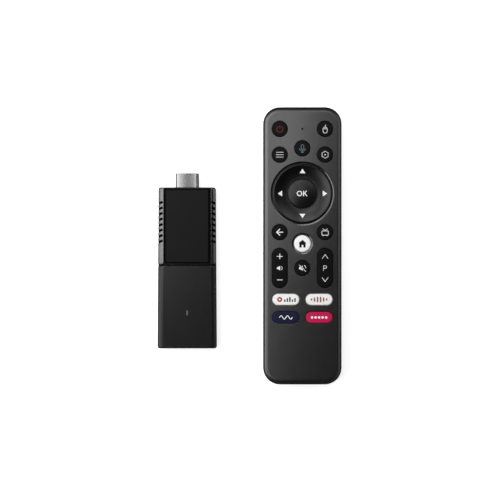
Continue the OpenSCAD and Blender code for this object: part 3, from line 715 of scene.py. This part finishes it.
def cap_height(shape, top, crown, edge):
    """A function giving the height of a crowned cap's surface at a place on it."""
    r = min(shape[2:]) / 2

    def height(x, y):
        return top + crown * (1 - min(beyond_core(x, y, shape, r) / (r - edge), 1) ** 2)

    return height


KEY_DEPTH = 2.8
# A round key is hollow below, so that its rubber dome has room when the key is pressed
DOME_ROOM = 3.7
DOME_DEPTH = 0.95


def key_cap(node, material, edge=KEY_EDGE, trim=0.0):
    """A round-ended cap with an eased rim and a low crown. Returns its surface height function."""
    cx, cy, w, h = key_shape(node)
    w, h = w - trim, h - trim
    top = box_mm(node)[1].z - KEY_CROWN
    flange = 0 if node in ROCKERS else FLANGE
    base_z = top - KEY_DEPTH
    height = cap_height((cx, cy, w, h), top, KEY_CROWN, edge)
    r = min(w, h) / 2

    def outline(inset):
        return rounded(cx, cy, w - 2 * inset, h - 2 * inset, r - inset, 18)

    s = Solid()
    rings = []
    if abs(w - h) < 0.1:
        hollow = outline(r - DOME_ROOM)
        rings += [s.ring(hollow, base_z + DOME_DEPTH), s.ring(hollow, base_z)]
    rings.append(s.ring(outline(-flange), base_z))
    if flange:
        rings += [s.ring(outline(-flange), base_z + FLANGE), s.ring(outline(0), base_z + FLANGE)]
    for inset, drop in quarter_round(edge, 6):
        rings.append(s.ring(outline(inset), top - drop))
    for k in range(1, 8):
        rings.append(s.ring(outline(edge + (r - edge - 0.15) * k / 7), height))
    s.loft(rings)
    make(node + "_cap", s, node, material, [node])
    return height


def turned_piece(name, profile, body, material, n):
    """A turned piece about the ring's middle: profile is (radius, height) pairs all round its section."""
    s = Solid()
    rings = [s.ring(circle(RING_X, RING_Y, max(r, 0.01), n), z) for r, z in profile]
    solid_core = profile[0][0] == 0
    s.loft(rings, capped=solid_core)
    if not solid_core:
        s.bridge(rings[-1], rings[0])
    make(name, s, body, material, [body])


RIM_Z = ring_high.z
BORE_R = OK_R + 0.35
BORE_Z = FACE_Z - 0.4
DISH_R = RING_R - 0.7
# The ring's hidden flange lies between these radii, and its outer part is this thick
SKIRT_IN = 10.5
SKIRT_OUT = 18.6
SKIRT_T = 0.2
# The OK key's printed letters stand proud, so its dome is this much lower than the CAD's
OK_SINK = 0.03
OK_RISE = 0.95
OK_EDGE = 0.5


def dish_height(x, y):
    """The direction ring's face is dished: high at its rim, level at its bore."""
    r = hypot(x - RING_X, y - RING_Y)
    return BORE_Z + (RIM_Z - BORE_Z) * max((r - BORE_R) / (DISH_R - BORE_R), 0) ** 1.7


def dome_height(x, y):
    """The OK key is a low dome."""
    r = hypot(x - RING_X, y - RING_Y)
    return box_mm("ok_key")[1].z - OK_SINK - OK_RISE * min(r / (OK_R - OK_EDGE), 1) ** 2


def direction_ring():
    base = ring_low.z
    profile = [(SKIRT_IN, base), (SKIRT_OUT, base), (SKIRT_OUT, base + SKIRT_T), (RING_R, base + SKIRT_T)]
    profile.append((RING_R, RIM_Z - 1.2))
    profile += [(RING_R - inset, RIM_Z - drop) for inset, drop in quarter_round(RING_R - DISH_R, 6)]
    for k in range(1, 13):
        r = DISH_R + (BORE_R + 0.08 - DISH_R) * k / 12
        profile.append((r, dish_height(RING_X + r, RING_Y)))
    profile += [(BORE_R, BORE_Z - 0.1), (BORE_R, base + 1.3), (SKIRT_IN, base + 1.3)]
    turned_piece("direction_ring_face", profile, "direction_ring", RING, 144)


def ok_key():
    low, high = box_mm("ok_key")
    room, flange_r = DOME_ROOM + 0.6, OK_R + 1.1
    profile = [(0, low.z + DOME_DEPTH), (room, low.z + DOME_DEPTH), (room, low.z)]
    profile += [(flange_r, low.z), (flange_r, low.z + FLANGE), (OK_R, low.z + FLANGE)]
    rim = high.z - OK_SINK - OK_RISE
    profile += [(OK_R - inset, rim - drop) for inset, drop in quarter_round(OK_EDGE, 6)[:-1]]
    for k in range(17):
        r = (OK_R - OK_EDGE) * (1 - k / 16)
        profile.append((r, dome_height(RING_X + r, RING_Y)))
    turned_piece("ok_key_dome", profile, "ok_key", OK_KEY, 96)


# --- Printed marks ---

def stroke(points, width, closed=False, round_ends=True):
    """Outlines that together draw a line of that width through the points."""
    shapes = []
    pairs = list(zip(points, points[1:] + points[:1] if closed else points[1:]))
    for (x0, y0), (x1, y1) in pairs:
        length = hypot(x1 - x0, y1 - y0)
        nx, ny = -(y1 - y0) / length * width / 2, (x1 - x0) / length * width / 2
        shapes.append([(x0 + nx, y0 + ny), (x0 - nx, y0 - ny), (x1 - nx, y1 - ny), (x1 + nx, y1 + ny)])
    joints = points if closed or round_ends else points[1:-1]
    return shapes + [circle(x, y, width / 2, 12) for x, y in joints]


def divided(loop, step=MARK_STEP):
    """The same outline with no side longer than the step, so that it can follow a crowned surface."""
    points = []
    for (x0, y0), (x1, y1) in zip(loop, loop[1:] + loop[:1]):
        parts = max(ceil(dist((x0, y0), (x1, y1)) / step), 1)
        points += [(x0 + (x1 - x0) * i / parts, y0 + (y1 - y0) * i / parts) for i in range(parts)]
    return points


def mark(name, body, ink, centre, height, shapes, holes=()):
    """A printed mark: shapes round its own centre, laid on the surface that height gives."""
    cx, cy = centre

    def moved(loops):
        return [divided([(x + cx, y + cy) for x, y in loop]) for loop in loops]

    s = Solid()
    s.plate(moved(shapes), lambda x, y: height(x, y) + MARK_LIFT, MARK_T, moved(holes), grid=MARK_STEP)
    make("mark_" + name, s, body, ink, sharp=60, weighted=False)


def power_mark():
    return arc_stroke(0, -0.2, 1.85, 125, 415, 0.42) + stroke([(0, 2.1), (0, 0.3)], 0.42)


def arc_stroke(cx, cy, r, start, end, width):
    """A curved line as one outline, with round ends."""
    outer = arc(cx, cy, r + width / 2, start, end, 20)
    inner = arc(cx, cy, r - width / 2, end, start, 20)
    ends = [circle(*arc(cx, cy, r, a, a, 1)[0], width / 2, 12) for a in (start, end)]
    return [outer + inner] + ends


def mouse_mark():
    body, hollow = rounded(0, -0.7, 2.8, 3.9, 1.4, 8), rounded(0, -0.7, 2.25, 3.35, 1.12, 8)
    lines = stroke([(0, 1.0), (0, 0.1)], 0.24) + stroke([(-1.2, 0.0), (1.2, 0.0)], 0.24)
    tail = stroke([(0, 1.3), (0.05, 1.9), (0.45, 2.5)], 0.26)
    return [body], [hollow], lines + tail


def gear_mark():
    points = []
    for i in range(12):
        a = TURN * i / 12 + TURN / 4
        r = 2.15 if i % 2 == 0 else 1.75
        points.append((r * cos(a), r * sin(a)))
    return stroke(points, 0.26, closed=True) + [circle(0, 0, 0.4, 20)]


def microphone_mark():
    shapes = [rounded(0, 0.7, 1.8, 3.3, 0.9, 8)]
    holder = arc_stroke(0, 0.3, 1.9, 195, 345, 0.28) + stroke([(0, -1.6), (0, -2.3)], 0.3)
    holder += stroke([(-0.6, -2.35), (0.6, -2.35)], 0.3)
    return shapes, [rounded(0, 0.7, 1.25, 2.75, 0.62, 8)], holder


def speaker_shapes(k):
    outline = [(-2.1, 0.75), (-2.1, -0.75), (-1.1, -0.75), (0.2, -1.7), (0.2, 1.7), (-1.1, 0.75)]
    return [[(x * k, y * k) for x, y in outline]]


def house_shapes():
    return [[(0, 2.3), (-2.25, 0.3), (-1.85, -0.15), (-1.85, -2.3), (-0.5, -2.3), (-0.5, -0.8), (0.5, -0.8),
             (0.5, -2.3), (1.85, -2.3), (1.85, -0.15), (2.25, 0.3)]]


def key_marks(heights):
    """The symbols on the black and white keys."""
    def on(node, name, shapes, holes=(), ink=WHITE_INK, up=0.0):
        x, y = key_shape(node)[:2]
        mark(name, node, ink, (x, y + up), heights[node], shapes, holes)

    on("power_key", "power", power_mark(), ink=RED_INK)
    body, hollow, extra = mouse_mark()
    on("mouse_key", "mouse_body", body, hollow)
    on("mouse_key", "mouse_lines", extra)
    capsule, hole, holder = microphone_mark()
    on("voice_key", "voice_capsule", capsule, hole, BLUE_INK)
    on("voice_key", "voice_stand", holder, ink=BLUE_INK)
    on("menu_key", "menu", [rounded(0, y, 4.5, 0.26, 0.13, 5) for y in (1.45, 0, -1.45)])
    on("settings_key", "settings", gear_mark())
    arrow = stroke([(-1.7, 0), (1.7, 0)], 0.6) + stroke([(-0.1, 1.75), (-1.85, 0), (-0.1, -1.75)], 0.6)
    on("back_key", "back", arrow)
    screen = [rounded(0, -0.5, 4.2, 2.9, 0.7, 6)]
    screen += [rounded(side * 1.2, -1.95, 0.7, 0.4, 0.15, 3) for side in (-1, 1)]
    on("tv_key", "tv_screen", screen, [rounded(0, -0.5, 3.5, 2.2, 0.4, 6)])
    on("tv_key", "tv_aerials", stroke([(-1.3, 2.0), (0, 1.05), (1.3, 2.0)], 0.32))
    on("home_key", "home", house_shapes(), ink=BLACK_INK)
    gap = stroke([(-2.2, 2.2), (2.3, -2.3)], 0.8, round_ends=False)
    on("mute_key", "mute_speaker", speaker_shapes(0.95), gap)
    on("mute_key", "mute_slash", stroke([(-1.85, 1.85), (1.95, -1.95)], 0.32))
    on("mute_key", "mute_wave", arc_stroke(0.1, 0, 1.9, 0, 60, 0.3))
    plus = stroke([(-1.5, 0), (1.5, 0)], 0.42) + stroke([(0, -1.5), (0, 1.5)], 0.42)
    on("volume_rocker", "volume_up", plus, up=7.0)
    on("volume_rocker", "volume_down", stroke([(-1.5, 0), (1.5, 0)], 0.4), up=-7.0)
    on("volume_rocker", "volume_speaker", speaker_shapes(0.8) + arc_stroke(0.1, 0, 1.3, -45, 45, 0.32))
    for side, name in ((1, "channel_up"), (-1, "channel_down")):
        chevron = stroke([(-1.7, -side * 1.15), (0, side * 1.15), (1.7, -side * 1.15)], 0.3)
        on("channel_rocker", name, chevron, up=side * 6.9)
    letter = arc_stroke(0.15, 0.65, 0.8, -90, 90, 0.27)
    letter += stroke([(0.15, 1.45), (-0.9, 1.45), (-0.9, -1.4)], 0.27)
    letter += stroke([(-0.9, -0.15), (0.15, -0.15)], 0.27)
    on("channel_rocker", "channel_letter", letter)


def ring_marks():
    """Four arrows on the direction ring and two letters on the OK key."""
    def on(body, name, height, shapes, holes=()):
        mark(name, body, WHITE_INK, (RING_X, RING_Y), height, shapes, holes)

    for i, name in enumerate(("right", "up", "left", "down")):
        a = TURN * i / 4
        c, s = cos(a), sin(a)
        triangle = [(12.1, -1.75), (14.7, 0), (12.1, 1.75)]
        turned = [(x * c - y * s, x * s + y * c) for x, y in triangle]
        on("direction_ring", "arrow_" + name, dish_height, [turned])
    outer, inner = (circle(-1.8, 0, 1.32 + side * 0.275, 48) for side in (1, -1))
    on("ok_key", "ok_o", dome_height, [outer], [inner])
    k = stroke([(0.6, -1.6), (0.6, 1.6)], 0.56, round_ends=False)
    k += stroke([(2.5, 1.6), (0.8, -0.15)], 0.52, round_ends=False)
    k += stroke([(1.3, 0.3), (2.65, -1.6)], 0.52, round_ends=False)
    on("ok_key", "ok_k", dome_height, k)


def shortcut_marks(heights):
    """Plain made-up signs in place of any maker's or channel's name."""
    def on(i, name, ink, shapes, holes=()):
        node = SHORTCUTS[i - 1]
        name = "shortcut_%d%s" % (i, name)
        mark(name, node, ink, key_shape(node)[:2], heights[node], shapes, holes)

    on(1, "_disc", SCARLET_INK, [circle(-3.7, 0, 1.5, 32)], [circle(-3.7, 0, 0.6, 20)])
    bars = [rounded(-0.6 + 1.5 * i, -0.7 + 0.35 * up, 0.8, 1.5 + 0.7 * up, 0.2, 3)
            for i, up in enumerate((0, 1, 2, 0, 1))]
    on(1, "_bars", BLACK_INK, bars)
    tall = (1.2, 2.4, 3.2, 3.2, 2.4, 1.2)
    on(2, "", BROWN_INK, [rounded(-4.5 + 1.8 * i, 0, 0.9, h, 0.3, 4) for i, h in enumerate(tall)])
    wave = [(-3.8 + 0.38 * i, 1.0 * sin(TURN * i / 10)) for i in range(21)]
    on(3, "", WHITE_INK, stroke(wave, 0.5))
    on(4, "", WHITE_INK, [circle(-4.2 + 2.1 * i, 0, 0.75, 20) for i in range(5)])


def remote():
    remote_top()
    remote_bottom()
    battery_cover()
    heights = {node: key_cap(node, KEY) for node in SMALL_KEYS + ROCKERS}
    heights["home_key"] = key_cap("home_key", WHITE_KEY, edge=0.6)
    white = (WHITE_KEY, "key_white", 0.4)
    looks = [white, white, (NAVY_KEY, "key_navy", 0.0), (CRIMSON_KEY, "key_crimson", 0.4)]
    for node, (material, slot, trim) in zip(SHORTCUTS, looks):
        heights[node] = key_cap(node, material, trim=trim)
    direction_ring()
    ok_key()
    key_marks(heights)
    ring_marks()
    shortcut_marks(heights)


# --- Stick ---

def stick_block(y0, y1, z0, z1, edge, end_r, top=True):
    """A tapering block with its top or its underside edged.

    edge gives (inset, drop) pairs for its sides. At its ends the same edge is end_r wide.
    """
    s = Solid()
    side = edge[-1][0]
    rings = [s.ring(stick_outline(y0, y1), z0 if top else z1)]
    for inset, drop in edge:
        outline = stick_outline(y0, y1, inset, inset * end_r / side)
        rings.append(s.ring(outline, z1 - drop if top else z0 + drop))
    s.loft(rings)
    return s


STICK_EDGE = eased_edge(4.6, 0.7)
WELL_HALF_W = 14.2
VENT_Y = 26.3
VENT_PITCH = 3.3
VENT_W = 1.5
VENT_TURN = 24
FRONT_Y0 = box_mm("stick_front_shell")[0].y
SLEEVE_Y1 = box_mm("stick_sleeve")[1].y
WELL_Z = box_mm("stick_face_panel")[0].z
PLUG_Z = middle("plug_shell")[2]
PORT_Z = middle("power_port_shell")[2]
# Width, height and corner cut of the plug's shell and of the port's
PLUG = (13.9, 4.45, 1.9)
PORT = (7.6, 2.8, 1.1)
MOUTH_GAP = 0.08


def plug_outline(size, grow, crown=0.0):
    """A plug's section as (x, z): lower corners cut off, corners eased, top crowned by that much."""
    w, h, bend = size
    n, across = 5, 16
    a, b = w / 2 + grow, h / 2 + grow
    corners = [(-a, b), (-a, b - bend), (-a + bend, -b), (a - bend, -b), (a, b - bend), (a, b)]
    points = []
    for i, p in enumerate(corners):
        before, after = Vector(corners[i - 1]), Vector(corners[(i + 1) % len(corners)])
        p = Vector(p)
        shoulder = 1.1 if crown and i in (0, 5) else 0
        reach = max(0.45 + grow * 0.5 + shoulder, 0.1)
        start = p + (before - p).normalized() * reach
        end = p + (after - p).normalized() * reach
        for k in range(n + 1):
            t = k / n
            q = start.lerp(p, t).lerp(p.lerp(end, t), t)
            points.append((q.x, q.y))
    points += [((a - reach) * (1 - 2 * k / across), b) for k in range(1, across)]
    if crown:
        points = [(x, z - crown * (x / a) ** 2 if z > 0 else z) for x, z in points]
    return points


def cut_mouth(piece, size, y0, y1, z):
    """The hole that a plug's or a port's shell comes through."""
    s = Solid()
    s.loft([s.upright_ring(plug_outline(size, MOUTH_GAP), y, z) for y in (y0, y1)])
    carve(piece, s)


def plug_cut(piece):
    cut_mouth(piece, PLUG, STICK_Y1 - 3, STICK_Y1 + 1, PLUG_Z)


def inner_prism(y0, y1, z0, z1):
    return prism(stick_outline(y0, y1, STICK_WALL, 0, 0.6), z0, z1)


def stick_front():
    """The plug half's upper casing: two bright rails with vent slots beside a sunk bed."""
    block = stick_block(FRONT_Y0, STICK_Y1, STICK_SPLIT_Z + SEAM_LINE / 2, STICK_H, STICK_EDGE, 0.4)
    piece = make("stick_rails", block)
    carve(piece, inner_prism(FRONT_Y0 - 5, STICK_Y1 - STICK_WALL, STICK_SPLIT_Z - 1, WELL_Z - 1.2))
    x0, x1 = STICK_X - WELL_HALF_W, STICK_X + WELL_HALF_W
    carve(piece, tool_box(x0, x1, FRONT_Y0 + 0.7, STICK_Y1 - 0.7, WELL_Z, STICK_H + 1))
    slots = []
    for side in (-1, 1):
        for i in range(8):
            x, y = STICK_X + side * 14.6, VENT_Y - VENT_PITCH * i
            x0, x1 = sorted((x, x + side * 8))
            slots.append(tool_box(x0, x1, y - VENT_W / 2, y + VENT_W / 2, STICK_SPLIT_Z + 1.7, STICK_H + 5,
                                  -side * VENT_TURN, (x, y)))
    carve(piece, merge(slots))
    plug_cut(piece)
    soften(piece, 0.12, angle=45)
    for material in (RAIL, RECESS_SHADE, SLEEVE):
        piece.data.materials.append(material)
    vents_y = VENT_Y - VENT_PITCH * 3.5
    # The faces of the sunk bed round the panel and the vent slots' walls and floors take the near-black
    # matte, which is painted shade in these recesses
    for face in piece.data.polygons:
        x, y, z = face.center / MM
        shaded_slot = abs(face.normal.y) > 0.6 and abs(y - vents_y) < 13
        shaded_slot = shaded_slot or face.normal.z > 0.9 and z < WELL_Z - 2
        face.material_index = 1 if abs(x - STICK_X) < WELL_HALF_W + 0.05 or shaded_slot else 0
        if face.material_index and face.normal.z > 0.5 and z > STICK_H - 0.6:
            face.material_index = 2
    finish_piece(piece, "stick", ["stick_front_shell"], sharp=40)


def stick_panel():
    """The dark panel let into the plug half's face."""
    low, high = box_mm("stick_face_panel")
    cx, cy = middle("stick_face_panel")[:2]
    w, h = high.x - low.x, high.y - low.y
    s = Solid()
    rings = [s.ring(rounded(cx, cy, w, h, 0.5, 6), low.z)]
    for inset, drop in quarter_round(0.3, 5):
        rings.append(s.ring(rounded(cx, cy, w - 2 * inset, h - 2 * inset, 0.5 - inset, 6), high.z - drop))
    s.loft(rings)
    make("stick_inset_panel", s, "stick", PANEL, ["stick_face_panel"])


def finish_plain_casing(piece, node):
    """Cuts the port's hole and gives the casing soft edges and its plastic."""
    cut_mouth(piece, PORT, STICK_Y0 - 1, STICK_Y0 + 3, PORT_Z)
    soften(piece, 0.1, angle=45)
    piece.data.materials.append(SLEEVE)
    finish_piece(piece, "stick", [node], sharp=40)


def stick_sleeve():
    """The power half's upper casing, with the slot for its status light."""
    block = stick_block(STICK_Y0, SLEEVE_Y1, STICK_SPLIT_Z + SEAM_LINE / 2, STICK_H, STICK_EDGE, 0.5)
    piece = make("stick_sleeve_casing", block)
    carve(piece, inner_prism(STICK_Y0 + STICK_WALL, SLEEVE_Y1 - 1, STICK_SPLIT_Z - 1, STICK_H - STICK_WALL))
    outline = rounded(*middle("light_pipe")[:2], 0.9, 3.1, 0.45, 6)
    carve(piece, prism(outline, STICK_SPLIT_Z, STICK_H + 1))
    finish_plain_casing(piece, "stick_sleeve")


def stick_back():
    block = stick_block(STICK_Y0, STICK_Y1, 0, STICK_SPLIT_Z, quarter_round(2, 8), 1, top=False)
    piece = make("stick_back_casing", block)
    carve(piece, inner_prism(STICK_Y0 + STICK_WALL, STICK_Y1 - STICK_WALL, STICK_WALL, STICK_SPLIT_Z + 1))
    plug_cut(piece)
    finish_plain_casing(piece, "stick_back_shell")


def metal_sleeve(name, node, size, metal, z):
    """A pressed metal shell with an eased lip: the plug's is open at its back, the port's is closed."""
    low, high = box_mm(node)
    is_plug = node == "plug_shell"
    outward, crown = (1, 0.2) if is_plug else (-1, 0)
    mouth, back = (high.y, low.y) if is_plug else (low.y, high.y)
    eased = 0.25
    path = [(0, back), (0, mouth - outward * eased), (-eased, mouth), (-metal + eased, mouth),
            (-metal, mouth - outward * eased), (-metal, back + outward * 0.4)]
    s = Solid()
    rings = [s.upright_ring(plug_outline(size, grow, crown), y, z) for grow, y in path]
    s.loft(rings, capped=not is_plug)
    if is_plug:
        s.bridge(rings[-1], rings[0])
    make(name, s, "stick", STEEL, [node])


def stick():
    stick_back()
    stick_sleeve()
    stick_front()
    stick_panel()
    metal_sleeve("plug_steel_shell", "plug_shell", PLUG, 0.4, PLUG_Z)
    metal_sleeve("port_steel_shell", "power_port_shell", PORT, 0.3, PORT_Z)


# --- CAD nodes that stay, with their finishes ---

FINISHES = {
    "battery_left": jacket_material("battery_left"), "battery_right": jacket_material("battery_right"),
    "battery_springs": SPRING, "battery_contacts": SPRING, "remote_board": BOARD, "keypad_mat": RUBBER,
    "remote_chips": CHIP, "microphone": DARK, "infrared_led": EMITTER, "infrared_window": WINDOW,
    "case_screws": SCREW, "ring_carrier": RING, "plug_insulator": DARK, "plug_contacts": GOLD,
    "stick_board": BOARD, "processor": CHIP, "memory_chips": CHIP, "shield_can": TIN, "thermal_pad": PAD,
    "heat_spreader": TIN, "radio_module": TIN, "chip_antennas": CERAMIC, "status_led": LED,
    "light_pipe": LENS, "power_port_tongue": DARK, "board_screws": SCREW,
}


def finish_cad_nodes():
    for node, material in FINISHES.items():
        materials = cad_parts[node].data.materials
        materials.clear()
        materials.append(material)


# --- Studio ---

def floor():
    """A pale sheet, lit a little from within like a light table, and kept out of the glossy reflections."""
    m = Nodes("paper_floor")
    m.link(m.ramp(m.noise(30), [(0.4, 0.93), (0.6, 0.95)]), "Base Color")
    m.link(m.ramp(m.noise(200), [(0.4, 0.85), (0.6, 0.95)]), "Roughness")
    m.set(Emission_Color=(1, 1, 1, 1), Emission_Strength=0.7)
    bpy.ops.mesh.primitive_plane_add(size=60, location=(0, 0, -0.00005))
    plane = bpy.context.active_object
    plane.name = "floor"
    plane.data.materials.append(m.material)
    plane.visible_glossy = False


def area_light(name, place, target, size, radiance):
    """A soft box of that size and brightness, aimed at the target."""
    data = bpy.data.lights.new(name, "AREA")
    data.shape = "RECTANGLE"
    data.size, data.size_y = size
    data.energy = radiance * pi * size[0] * size[1]
    light = bpy.data.objects.new(name, data)
    light.location = place
    light.rotation_euler = (Vector(target) - Vector(place)).to_track_quat("-Z", "Y").to_euler()
    light.visible_camera = False
    bpy.context.scene.collection.objects.link(light)


# How bright the room is at each height of view, from straight down (-1) to straight up (1)
WORLD = [(-1, 0.02), (-0.4, 0.03), (0.0, 0.12), (0.35, 0.13), (0.75, 0.03)]


def studio():
    """A dim room, darker towards the floor, with soft boxes to the left, overhead and to the right."""
    world = bpy.data.worlds.new("studio")
    bpy.context.scene.world = world
    world.use_nodes = True
    nodes, links = world.node_tree.nodes, world.node_tree.links
    split = nodes.new("ShaderNodeSeparateXYZ")
    ramp = nodes.new("ShaderNodeValToRGB")
    links.new(nodes.new("ShaderNodeTexCoord").outputs["Generated"], split.inputs["Vector"])
    height = nodes.new("ShaderNodeMapRange")
    height.inputs["From Min"].default_value = -1
    links.new(split.outputs["Z"], height.inputs["Value"])
    links.new(height.outputs["Result"], ramp.inputs["Fac"])
    links.new(ramp.outputs["Color"], nodes["Background"].inputs["Color"])
    set_stops(ramp.color_ramp.elements, [((view + 1) / 2, level) for view, level in WORLD])
    area_light("softbox_left", (-0.6, 0.0, 0.4), (0, 0, 0.01), (0.9, 0.42), 2.6)
    area_light("softbox_over", (-0.22, 0.19, 0.4), (-0.22, 0.19, 0), (0.3, 0.44), 3.3)
    area_light("softbox_far_right", (0.2, 0.25, 0.4), (0.2, 0.25, 0), (0.2, 0.3), 0.9)
    area_light("softbox_right", (0.6, 0.23, 0.34), (0, 0.23, 0.01), (0.44, 0.34), 1.3)
    area_light("softbox_right_low", (0.6, -0.22, 0.34), (0, -0.22, 0.01), (0.44, 0.34), 0.6)
    area_light("plug_card", (0.012, 0.09, 0.4), (0.012, 0.09, 0), (0.05, 0.1), 5.0)
    centre = Vector((RING_X, RING_Y, FACE_Z)) * MM
    for i, (turn, radiance) in enumerate(((58, 1.6), (98, 5), (215, 4))):
        a = radians(turn)
        reach = 0.38
        place = centre + reach * Vector((cos(a), sin(a), tan(radians(63))))
        area_light("strip_%d" % i, place, centre, (0.2, 0.16), radiance)
    bpy.context.scene.view_settings.view_transform = "Standard"


def camera():
    """Straight down on both units, from far enough off to look nearly flat."""
    data = bpy.data.cameras.new("camera")
    data.lens = 200
    data.sensor_width = 36
    view_width = 0.2992
    mid_height = 0.012
    eye = bpy.data.objects.new("camera", data)
    eye.location = (0.00033, -0.0025, mid_height + view_width * data.lens / data.sensor_width)
    bpy.context.scene.collection.objects.link(eye)
    bpy.context.scene.camera = eye


remote()
stick()
finish_cad_nodes()
floor()
studio()
camera()
